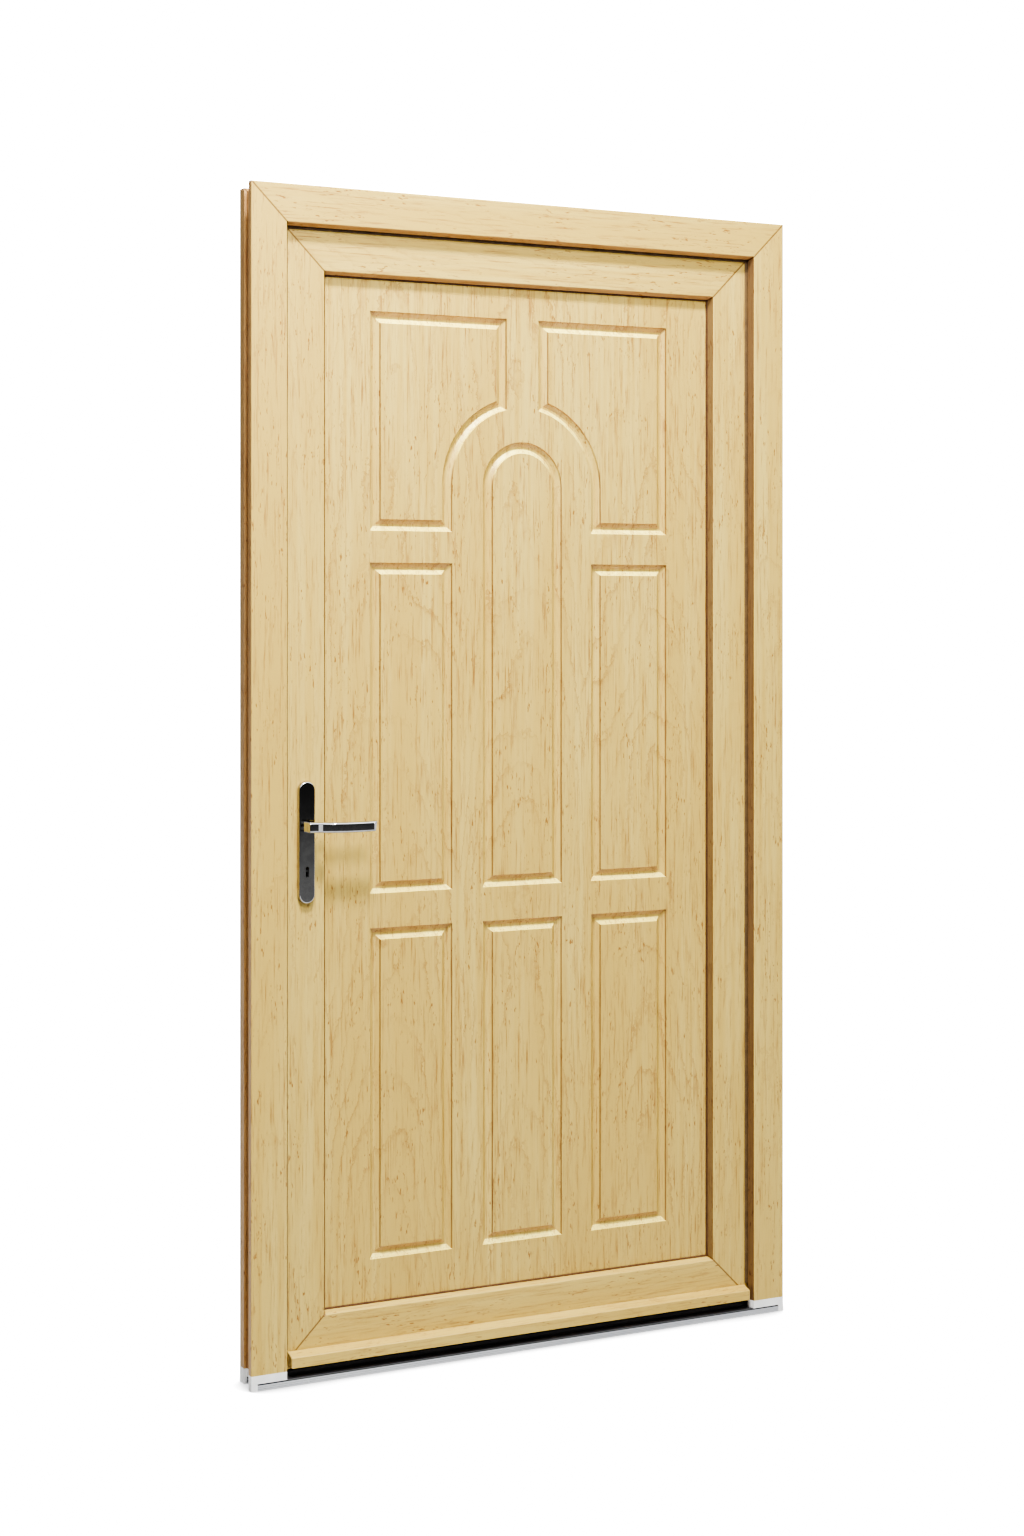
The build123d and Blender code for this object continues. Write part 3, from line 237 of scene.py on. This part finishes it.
# The print is drawn like sawn wood: rings of a leaning trunk, cut by the face of the board.
ring_lean = 0.6
trunk_slant, trunk_start = 0.06, 0.015
trunk_wander = 0.16
ring_wobble = 0.011
rings_per_metre = 85.0
late_wood_edge = 9.0
faint_rings = 0.25
streak_share = 0.9
smooth_foil, dry_foil = 0.36, 0.5

maple = bpy.data.node_groups.new("maple_print", "ShaderNodeTree")
sockets(maple, "INPUT", [("Place", "Vector", None), ("Pale", "Color", (0.8, 0.66, 0.4, 1)),
                         ("Warm", "Color", (0.7, 0.52, 0.26, 1)),
                         ("Brown", "Color", (0.42, 0.25, 0.09, 1)), ("Leaf Width", "Float", 0.13),
                         ("Figure", "Float", 0.3), ("Fibre", "Float", 0.3), ("Flecks", "Float", 0.5)])
sockets(maple, "OUTPUT", [("Colour", "Color", None), ("Roughness", "Float", None),
                          ("Emboss", "Float", None)])
given = maple.nodes.new("NodeGroupInput")
place = given.outputs["Place"]
axes = axes_of(maple, place)
wander = stretched_noise(maple, place, (3.0, 3.0, 1.3), 2.0)
jitter = stretched_noise(maple, place, (70.0, 70.0, 45.0), 4.0, 0.7)
clusters = stretched_noise(maple, place, (9.0, 9.0, 4.0), 2.0)
bands = ramp(maple, stretched_noise(maple, place, (11.0, 11.0, 0.8), 2.0), 0.35, 0.65)
streaks = ramp(maple, stretched_noise(maple, place, (95.0, 95.0, 2.4), 3.0), 0.35, 0.7)
fibres = stretched_noise(maple, place, (300.0, 300.0, 12.0), 4.0, 0.65)
pores = ramp(maple, stretched_noise(maple, place, (330.0, 330.0, 70.0), 2.0), 0.62, 0.7)
patches = ramp(maple, stretched_noise(maple, place, (26.0, 26.0, 9.0), 2.0), 0.42, 0.62)

slid = sum_up(maple, "ADD", axes.outputs["X"], times(maple, axes.outputs["Y"], ring_lean))
across = sum_up(maple, "PINGPONG", slid, given.outputs["Leaf Width"])
slant = sum_up(maple, "MULTIPLY_ADD", axes.outputs["Z"], trunk_slant, trunk_start)
depth = sum_up(maple, "MULTIPLY_ADD", wander, trunk_wander, slant)
squares = sum_up(maple, "ADD", sum_up(maple, "POWER", across, 2.0),
                 sum_up(maple, "POWER", depth, 2.0))
ring = sum_up(maple, "MULTIPLY_ADD", jitter, ring_wobble, sum_up(maple, "SQRT", squares))
turn = sum_up(maple, "FRACT", times(maple, ring, rings_per_metre))
late_wood = times(maple, sum_up(maple, "POWER", turn, late_wood_edge),
                  ramp(maple, clusters, 0.42, 0.6, faint_rings, 1.0))

tone = blend_colours(maple, bands, given.outputs["Pale"], given.outputs["Warm"])
streaked = times(maple, streaks, times(maple, given.outputs["Fibre"], streak_share))
tone = blend_colours(maple, streaked, tone, given.outputs["Warm"])
for mark, strength in ((late_wood, "Figure"), (ramp(maple, fibres, 0.5, 0.8), "Fibre"),
                       (times(maple, pores, patches), "Flecks")):
    share = times(maple, mark, given.outputs[strength])
    tone = blend_colours(maple, share, tone, given.outputs["Brown"])
made = maple.nodes.new("NodeGroupOutput")
maple.links.new(tone, made.inputs["Colour"])
maple.links.new(ramp(maple, fibres, 0.2, 0.8, smooth_foil, dry_foil), made.inputs["Roughness"])
maple.links.new(sum_up(maple, "SUBTRACT", fibres, pores), made.inputs["Emboss"])

# A welded corner is where a point is as far from the frame's side as from its top or foot.
weld = bpy.data.node_groups.new("mitre_weld", "ShaderNodeTree")
sockets(weld, "INPUT", [("Place", "Vector", None), ("Half Width", "Float", 0.55),
                        ("Top", "Float", 2.1), ("Foot", "Float", -5.0), ("Line", "Float", 0.0032)])
sockets(weld, "OUTPUT", [("Line", "Float", None)])
given = weld.nodes.new("NodeGroupInput")
axes = axes_of(weld, given.outputs["Place"])
from_side = sum_up(weld, "SUBTRACT", given.outputs["Half Width"],
                   sum_up(weld, "ABSOLUTE", axes.outputs["X"]))
from_top = sum_up(weld, "SUBTRACT", given.outputs["Top"], axes.outputs["Z"])
from_foot = sum_up(weld, "SUBTRACT", axes.outputs["Z"], given.outputs["Foot"])
to_top, to_foot = (sum_up(weld, "ABSOLUTE", sum_up(weld, "SUBTRACT", from_side, end))
                   for end in (from_top, from_foot))
nearest = sum_up(weld, "MINIMUM", to_top, to_foot)
off_line = sum_up(weld, "DIVIDE", nearest, given.outputs["Line"], clamp=True)
made = weld.nodes.new("NodeGroupOutput")
weld.links.new(sum_up(weld, "SUBTRACT", 1.0, off_line, clamp=True), made.inputs["Line"])

# The foil is painted darker and browner on the narrow faces that look sideways, a painted shade, and
# paler where it faces up, a painted highlight. The frame's outer side takes in the recess behind its
# front edge, which looks forward, and is painted darker too; faces that look down get a painted shade
# tint.
wall_side = 0.52
looks_forward = -0.5
reveal = bpy.data.node_groups.new("painted_shade_by_facing", "ShaderNodeTree")
sockets(reveal, "INPUT", [("Place", "Vector", None), ("Outer Edge", "Float", 0.5)])
sockets(reveal, "OUTPUT", [("Turned Away", "Float", None), ("Outer Side", "Float", None),
                           ("Underneath", "Float", None), ("Upward", "Float", None)])
given = reveal.nodes.new("NodeGroupInput")
axes = axes_of(reveal, given.outputs["Place"])
leaning = axes_of(reveal, put(reveal, "ShaderNodeTexCoord").outputs["Normal"])
from_middle = sum_up(reveal, "ABSOLUTE", axes.outputs["X"])
inside = sum_up(reveal, "LESS_THAN", from_middle, given.outputs["Outer Edge"])
side_on = ramp(reveal, sum_up(reveal, "ABSOLUTE", leaning.outputs["Y"]), 0.45, 0.62, 1.0, 0.0)
not_up = ramp(reveal, sum_up(reveal, "ABSOLUTE", leaning.outputs["Z"]), 0.05, 0.4, 1.0, 0.0)
sideways = times(reveal, side_on, not_up)
outer_side = times(reveal, sideways, sum_up(reveal, "SUBTRACT", 1.0, inside))
past_edge = sum_up(reveal, "GREATER_THAN", from_middle, wall_side)
behind_face = sum_up(reveal, "GREATER_THAN", axes.outputs["Y"], 0.0)
to_front = sum_up(reveal, "LESS_THAN", leaning.outputs["Y"], looks_forward)
recess = times(reveal, times(reveal, past_edge, behind_face), to_front)
made = reveal.nodes.new("NodeGroupOutput")
reveal.links.new(times(reveal, sideways, inside), made.inputs["Turned Away"])
reveal.links.new(sum_up(reveal, "MAXIMUM", outer_side, recess), made.inputs["Outer Side"])
facing_down = ramp(reveal, leaning.outputs["Z"], -0.7, -0.3, 1.0, 0.0)
reveal.links.new(facing_down, made.inputs["Underneath"])
reveal.links.new(ramp(reveal, leaning.outputs["Z"], 0.15, 0.45), made.inputs["Upward"])

foil_pale = (0.63, 0.483, 0.155, 1.0)
foil_warm = (0.575, 0.413, 0.114, 1.0)
foil_brown = (0.33, 0.17, 0.045, 1.0)
side_painted_shade = (0.34, 0.29, 0.41, 1.0)
deep_side_painted_shade = (0.26, 0.20, 0.30, 1.0)
outer_side_painted_shade = (0.85, 0.73, 1.1, 1.0)
underside_painted_shade = (1.0, 0.76, 1.15, 1.0)
crease_painted_shade = (0.50, 0.38, 0.40, 1.0)
weld_brown = (0.16, 0.075, 0.02, 1.0)
weld_depth = 3.0
crease_shade_reach = 0.006
emboss_height = 0.0006


def maple_foil(name, level, mitres=None, shift=(0.0, 0.0, 0.0), figure=0.3, fibre=0.8, flecks=0.9,
               side=side_painted_shade, stretched=white, outer_edge=0.5):
    """The foil, with its grain upright or level. mitres is (top, foot) of the welded corners."""
    # side and stretched multiply the foil by facing: painted shade on sideways faces, painted highlight
    # on upward ones.
    material = bpy.data.materials.new(name)
    material.use_nodes = True
    tree = material.node_tree
    skin = tree.nodes["Principled BSDF"]
    spot = put(tree, "ShaderNodeTexCoord")
    turned = put(tree, "ShaderNodeMapping")
    turned.inputs["Location"].default_value = shift
    turned.inputs["Rotation"].default_value = (0.0, math.radians(90.0) if level else 0.0, 0.0)
    tree.links.new(spot.outputs["Object"], turned.inputs["Vector"])
    grain = put(tree, "ShaderNodeGroup", {"node_tree": maple},
                {"Pale": foil_pale, "Warm": foil_warm, "Brown": foil_brown, "Figure": figure,
                 "Fibre": fibre, "Flecks": flecks})
    tree.links.new(turned.outputs["Vector"], grain.inputs["Place"])
    faces = put(tree, "ShaderNodeGroup", {"node_tree": reveal}, {"Outer Edge": outer_edge})
    tree.links.new(spot.outputs["Object"], faces.inputs["Place"])
    colour = grain.outputs["Colour"]
    # Painted shade on faces that look sideways or down and on the outer side, painted highlight where
    # they face up.
    for way, tint in (("Turned Away", side), ("Outer Side", outer_side_painted_shade), ("Underneath", underside_painted_shade),
                      ("Upward", stretched)):
        colour = blend_colours(tree, faces.outputs[way], colour, tint, "MULTIPLY")
    # Ambient occlusion darkens the foil in creases and corners: painted shade.
    crease_shade_occlusion = put(tree, "ShaderNodeAmbientOcclusion", {"samples": 8}, {"Distance": crease_shade_reach})
    colour = blend_colours(tree, ramp(tree, crease_shade_occlusion.outputs["AO"], 0.35, 0.85, 1.0, 0.0), colour,
                           crease_painted_shade, "MULTIPLY")
    height = grain.outputs["Emboss"]
    if mitres:
        seam = put(tree, "ShaderNodeGroup", {"node_tree": weld},
                   {"Top": mitres[0], "Foot": mitres[1]})
        tree.links.new(spot.outputs["Object"], seam.inputs["Place"])
        colour = blend_colours(tree, seam.outputs["Line"], colour, weld_brown)
        height = sum_up(tree, "SUBTRACT", height, times(tree, seam.outputs["Line"], weld_depth))
    bump = put(tree, "ShaderNodeBump", values={"Strength": 0.2, "Distance": emboss_height})
    tree.links.new(height, bump.inputs["Height"])
    tree.links.new(bump.outputs["Normal"], skin.inputs["Normal"])
    tree.links.new(colour, skin.inputs["Base Color"])
    tree.links.new(grain.outputs["Roughness"], skin.inputs["Roughness"])
    return material


def dress(material, *names):
    """Gives a material to the slots of CAD nodes."""
    for name in names:
        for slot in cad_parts[name].material_slots:
            slot.material = material


head_low, head_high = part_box("frame_head")
no_foot_mitre = -5.0
frame_mitres = (head_high.z, no_foot_mitre)
dress(maple_foil("jamb_foil", False, frame_mitres, fibre=1.1, flecks=1.2, side=deep_side_painted_shade),
      "frame_jamb_left", "frame_jamb_right")
dress(maple_foil("head_foil", True, frame_mitres, fibre=1.1, flecks=1.2), "frame_head")


# Steel in the profiles
# Rolled box tubes of zinc plated steel stiffen every hollow profile and take the screws of the
# hinges and the lock. They show only in the cut ends.
dust_scale = 1400.0
grain_height = 0.0003
dull = bpy.data.node_groups.new("dull_patches", "ShaderNodeTree")
sockets(dull, "INPUT", [("Place", "Vector", None), ("Light", "Color", (0.7, 0.7, 0.7, 1)),
                        ("Dark", "Color", (0.5, 0.5, 0.5, 1)), ("Scale", "Float", 60.0),
                        ("Smooth", "Float", 0.3), ("Rough", "Float", 0.5)])
sockets(dull, "OUTPUT", [("Colour", "Color", None), ("Roughness", "Float", None),
                         ("Grain", "Float", None)])
given = dull.nodes.new("NodeGroupInput")
clouds = put(dull, "ShaderNodeTexNoise", values={"Detail": 4.0, "Roughness": 0.6})
dull.links.new(given.outputs["Place"], clouds.inputs["Vector"])
dull.links.new(given.outputs["Scale"], clouds.inputs["Scale"])
dust = put(dull, "ShaderNodeTexNoise", values={"Scale": dust_scale, "Detail": 2.0})
dull.links.new(given.outputs["Place"], dust.inputs["Vector"])
cloud = ramp(dull, clouds.outputs["Fac"], 0.35, 0.65)
clouded = blend_colours(dull, cloud, given.outputs["Light"], given.outputs["Dark"])
reach = sum_up(dull, "SUBTRACT", given.outputs["Rough"], given.outputs["Smooth"])
matted = sum_up(dull, "MULTIPLY_ADD", cloud, reach, given.outputs["Smooth"])
made = dull.nodes.new("NodeGroupOutput")
dull.links.new(clouded, made.inputs["Colour"])
dull.links.new(matted, made.inputs["Roughness"])
dull.links.new(dust.outputs["Fac"], made.inputs["Grain"])


def plain_finish(name, light, dark, smooth, rough, metal=0.0, scale=60.0, grain=0.1,
                 stretch=(1.0, 1.0, 1.0)):
    """A finish with soft patches and a fine grain, which stretch draws out into lines."""
    material = bpy.data.materials.new(name)
    material.use_nodes = True
    tree = material.node_tree
    skin = tree.nodes["Principled BSDF"]
    spot = put(tree, "ShaderNodeTexCoord")
    drawn = put(tree, "ShaderNodeMapping")
    drawn.inputs["Scale"].default_value = stretch
    tree.links.new(spot.outputs["Object"], drawn.inputs["Vector"])
    look = put(tree, "ShaderNodeGroup", {"node_tree": dull},
               {"Light": light + (1.0,), "Dark": dark + (1.0,), "Scale": scale, "Smooth": smooth,
                "Rough": rough})
    tree.links.new(drawn.outputs["Vector"], look.inputs["Place"])
    bump = put(tree, "ShaderNodeBump", values={"Strength": grain, "Distance": grain_height})
    tree.links.new(look.outputs["Grain"], bump.inputs["Height"])
    tree.links.new(bump.outputs["Normal"], skin.inputs["Normal"])
    tree.links.new(look.outputs["Colour"], skin.inputs["Base Color"])
    tree.links.new(look.outputs["Roughness"], skin.inputs["Roughness"])
    skin.inputs["Metallic"].default_value = metal
    return material


zinc = plain_finish("zinc_plate", (0.62, 0.63, 0.64), (0.46, 0.47, 0.48), smooth=0.3, rough=0.46,
                    metal=1.0, scale=90.0)
dress(zinc, "frame_steel_left", "frame_steel_right", "frame_steel_head",
      "leaf_steel_lock", "leaf_steel_hinge", "leaf_steel_top", "leaf_steel_bottom")


# Gaskets
# Rubber strips pushed into the frame, the leaf and round the panel: brown where they show
# outside, black on the lap and under the leaf. The frame's gasket ends in a thin lip that
# reaches over the gap along the jambs and the head.
rubber = plain_finish("seal_rubber", (0.018, 0.018, 0.018), (0.032, 0.031, 0.03), smooth=0.55,
                      rough=0.75, scale=40.0, grain=0.15)
dress(rubber, "leaf_gasket", "leaf_bottom_seal")
brown_rubber = plain_finish("brown_rubber", (0.10, 0.045, 0.014), (0.075, 0.032, 0.01), smooth=0.5,
                            rough=0.7, scale=40.0, grain=0.15)
dress(brown_rubber, "frame_gasket", "panel_outer_gasket", "panel_inner_gasket")


def pass_on(tree, geometry, kind, values=None):
    """A node that takes a geometry in and gives it out changed."""
    node = put(tree, kind, values=values)
    tree.links.new(geometry, node.inputs[0])
    return node


# The lip's path goes up the frame's left edge, along its top and down its right edge. The lip's
# section is drawn by the distances in from that edge and back from the frame's face.
strip = bpy.data.node_groups.new("strip_round_frame", "GeometryNodeTree")
sockets(strip, "INPUT", [("Section", "Geometry", None), ("Half Width", "Float", 0.55),
                         ("Top", "Float", 2.1), ("Foot", "Float", 0.1), ("Face", "Float", 0.0),
                         ("Rubber", "Material", None)])
sockets(strip, "OUTPUT", [("Strip", "Geometry", None)])
given = strip.nodes.new("NodeGroupInput")
right = given.outputs["Half Width"]
left = times(strip, right, -1.0)
path = put(strip, "GeometryNodeCurvePrimitiveQuadrilateral", {"mode": "POINTS"})
path_ends = ((left, "Foot"), (left, "Top"), (right, "Top"), (right, "Foot"))
for number, (side, level) in enumerate(path_ends, 1):
    corner = put(strip, "ShaderNodeCombineXYZ")
    for axis, value in (("X", side), ("Y", given.outputs["Face"]), ("Z", given.outputs[level])):
        strip.links.new(value, corner.inputs[axis])
    strip.links.new(corner.outputs[0], path.inputs["Point %d" % number])
open_path = pass_on(strip, path.outputs[0], "GeometryNodeSetSplineCyclic", {"Cyclic": False})

# A mitre is cut aslant, so there the section is widened within the plane of the frame.
along = axes_of(strip, put(strip, "GeometryNodeInputTangent").outputs[0])
slope = sum_up(strip, "MAXIMUM", sum_up(strip, "ABSOLUTE", along.outputs["X"]),
               sum_up(strip, "ABSOLUTE", along.outputs["Z"]))
widening = sum_up(strip, "SUBTRACT", sum_up(strip, "DIVIDE", 1.0, slope), 1.0)
spot = put(strip, "GeometryNodeInputPosition").outputs[0]
spine = pass_on(strip, open_path.outputs[0], "GeometryNodeCaptureAttribute")
for kind, name, value in (("VECTOR", "Place", spot), ("FLOAT", "Widening", widening)):
    spine.capture_items.new(kind, name)
    strip.links.new(value, spine.inputs[name])
outline = pass_on(strip, given.outputs["Section"], "GeometryNodeMeshToCurve")
swept = pass_on(strip, spine.outputs["Geometry"], "GeometryNodeCurveToMesh", {"Fill Caps": True})
strip.links.new(outline.outputs[0], swept.inputs["Profile Curve"])
in_plane = put(strip, "ShaderNodeCombineXYZ")
for axis in ("X", "Z"):
    strip.links.new(spine.outputs["Widening"], in_plane.inputs[axis])
from_spine = join_vectors(strip, "SUBTRACT", spot, spine.outputs["Place"])
mitred = pass_on(strip, swept.outputs[0], "GeometryNodeSetPosition")
strip.links.new(join_vectors(strip, "MULTIPLY", from_spine, in_plane.outputs[0]),
                mitred.inputs["Offset"])
crisp = pass_on(strip, mitred.outputs[0], "GeometryNodeSetShadeSmooth", {"Shade Smooth": False})
real = pass_on(strip, crisp.outputs[0], "GeometryNodeRealizeInstances")
covered = pass_on(strip, real.outputs[0], "GeometryNodeSetMaterial")
strip.links.new(given.outputs["Rubber"], covered.inputs["Material"])
made = strip.nodes.new("NodeGroupOutput")
strip.links.new(covered.outputs[0], made.inputs["Strip"])

lip_root, lip_shoulder, lip_tip = 0.0700, 0.0750, 0.0757
lip_front, lip_nose_front, lip_nose_back, lip_back = 0.0186, 0.0192, 0.0200, 0.0206
lip_foot_gap = 0.003
lip_outline = [(lip_root, lip_front, 0.0), (lip_shoulder, lip_front, 0.0),
               (lip_tip, lip_nose_front, 0.0), (lip_tip, lip_nose_back, 0.0),
               (lip_shoulder, lip_back, 0.0), (lip_root, lip_back, 0.0)]
lip_section = bpy.data.meshes.new("lip_section")
rounds = len(lip_outline)
lip_section.from_pydata(lip_outline, [(turn, (turn + 1) % rounds) for turn in range(rounds)], [])
lip_rubber = plain_finish("lip_rubber", (0.15, 0.095, 0.042), (0.11, 0.068, 0.03), smooth=0.45,
                          rough=0.65, scale=40.0, grain=0.15)
lip_sizes = {"Half Width": head_high.x, "Top": head_high.z, "Face": head_low.y,
             "Foot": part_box("weather_bar")[1].z + lip_foot_gap, "Rubber": lip_rubber}
gasket_lip = bpy.data.objects.new("gasket_lip", lip_section)
room.collection.objects.link(gasket_lip)
sweep = gasket_lip.modifiers.new("strip_round_frame", "NODES")
sweep.node_group = strip
for socket in strip.interface.items_tree:
    if socket.name in lip_sizes:
        sweep[socket.identifier] = lip_sizes[socket.name]
swept_lip = gasket_lip.evaluated_get(bpy.context.evaluated_depsgraph_get())
lip_mesh = bpy.data.meshes.new_from_object(swept_lip)
lip_mesh.name = "gasket_lip"
gasket_lip.modifiers.remove(sweep)
gasket_lip.data = lip_mesh
bpy.data.meshes.remove(lip_section)
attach(gasket_lip, "frame")


# Threshold
# A drawn aluminium base with fine lines along its front, a black plastic cover clipped on it,
# and a moulded white block under each jamb, held with screws from below.
aluminium = plain_finish("drawn_aluminium", (0.62, 0.63, 0.64), (0.52, 0.53, 0.55), smooth=0.22,
                         rough=0.34, metal=1.0, scale=30.0, grain=0.12, stretch=(0.03, 1.0, 1.0))
dress(aluminium, "threshold_base")
black_cover = plain_finish("black_cover", (0.014, 0.014, 0.015), (0.03, 0.03, 0.032), smooth=0.38,
                           rough=0.55, scale=30.0, grain=0.12, stretch=(0.05, 1.0, 1.0))
dress(black_cover, "threshold_cover")
white_block = plain_finish("white_block", (0.90, 0.90, 0.89), (0.84, 0.84, 0.83), smooth=0.36,
                           rough=0.5, scale=25.0, grain=0.08)
dress(white_block, "threshold_end_block_left", "threshold_end_block_right", "setting_blocks")
dress(zinc, "threshold_screws")


# Leaf profiles
# Two stiles and two rails of the same foiled PVC, wider than the frame, welded at mitred corners.
# Their inner edge leans back to the panel.
leaf_foot_mitre = -0.036
leaf_mitres = (head_high.z, leaf_foot_mitre)
past_leaf = 0.6
dress(maple_foil("stile_foil", False, leaf_mitres, (0.05, 0.0, 0.7), fibre=1.0, flecks=1.1,
                 outer_edge=past_leaf), "leaf_stile_lock", "leaf_stile_hinge")
dress(maple_foil("rail_foil", True, leaf_mitres, (0.3, 0.0, 0.4), fibre=1.0, flecks=1.1,
                 outer_edge=past_leaf), "leaf_rail_top", "leaf_rail_bottom")


# Panel
# One board with a foam core, its two skins pressed with eight raised fields and wrapped in foil,
# which is painted paler on the slopes that face up, a painted highlight, and darker on the steep quirk
# walls, a painted shade. Four beads hold it in the leaf.
upward_painted_highlight = (1.5, 1.74, 1.85, 1.0)
quirk_painted_shade = (0.52, 0.44, 0.53, 1.0)
dress(maple_foil("panel_foil", False, shift=(0.0, 0.0, 0.2), figure=0.68, fibre=1.15, flecks=1.1,
                 side=quirk_painted_shade, stretched=upward_painted_highlight), "infill_panel")
dress(maple_foil("bead_foil", False, shift=(0.1, 0.0, 0.3)),
      "glazing_bead_left", "glazing_bead_right")
dress(maple_foil("level_bead_foil", True, shift=(0.1, 0.0, 0.3)),
      "glazing_bead_top", "glazing_bead_bottom")


# Weather bar
# A hollow foiled profile clipped across the foot of the leaf, with a cap on each end.
dress(maple_foil("bar_foil", True, shift=(0.5, 0.0, 0.1)), "weather_bar")
cap_plastic = plain_finish("cap_plastic", (0.62, 0.46, 0.17), (0.56, 0.41, 0.14), smooth=0.4,
                           rough=0.52, scale=50.0)
dress(cap_plastic, "weather_bar_end_caps")


# Lock
# A steel case in the lock stile behind a narrow faceplate, with a sprung latch, a bolt and the
# profile cylinder that a long screw holds. The keep on the jamb has a sliding day catch.
brushed = plain_finish("brushed_faceplate", (0.66, 0.66, 0.65), (0.56, 0.56, 0.56), smooth=0.24,
                       rough=0.36, metal=1.0, grain=0.15, stretch=(1.0, 1.0, 0.03))
dress(brushed, "lock_faceplate", "lock_keep", "day_catch")
dress(zinc, "lock_case", "faceplate_screws", "keep_screws", "plate_screws", "cylinder_screw",
      "spindle", "spindle_follower")
nickel = plain_finish("nickel_brass", (0.66, 0.63, 0.57), (0.58, 0.55, 0.49), smooth=0.22,
                      rough=0.34, metal=1.0, scale=120.0)
dress(nickel, "latch_bolt", "deadbolt")
# The cylinder is coloured far darker than nickel, a painted shade for the key slot.
cylinder_painted_shade = plain_finish("cylinder_dark_painted_shade", (0.10, 0.10, 0.10), (0.07, 0.07, 0.07), smooth=0.3,
                              rough=0.42, metal=1.0, scale=120.0)
dress(cylinder_painted_shade, "cylinder_body", "cylinder_plug")


# Handles
# Long dark chrome plates with a bright rim, screwed through the leaf, and two flat levers on
# one square spindle.
handle_chrome = plain_finish("handle_chrome", (0.50, 0.50, 0.495), (0.42, 0.42, 0.42), smooth=0.05,
                             rough=0.08, metal=1.0, scale=40.0, grain=0.01)
dress(handle_chrome, "outside_plate", "inside_plate", "lever_outside", "lever_inside")


# Hinges
# Three hinges of painted metal, each a frame part and a leaf part on one steel pin, with screws
# into the steel tubes.
hinge_paint = plain_finish("hinge_paint", (0.66, 0.52, 0.30), (0.60, 0.46, 0.25), smooth=0.35,
                           rough=0.48, scale=70.0)
for level in ("lower", "middle", "upper"):
    dress(hinge_paint, "hinge_frame_part_" + level, "hinge_leaf_part_" + level)
dress(zinc, "hinge_pins", "hinge_frame_screws", "hinge_leaf_screws")
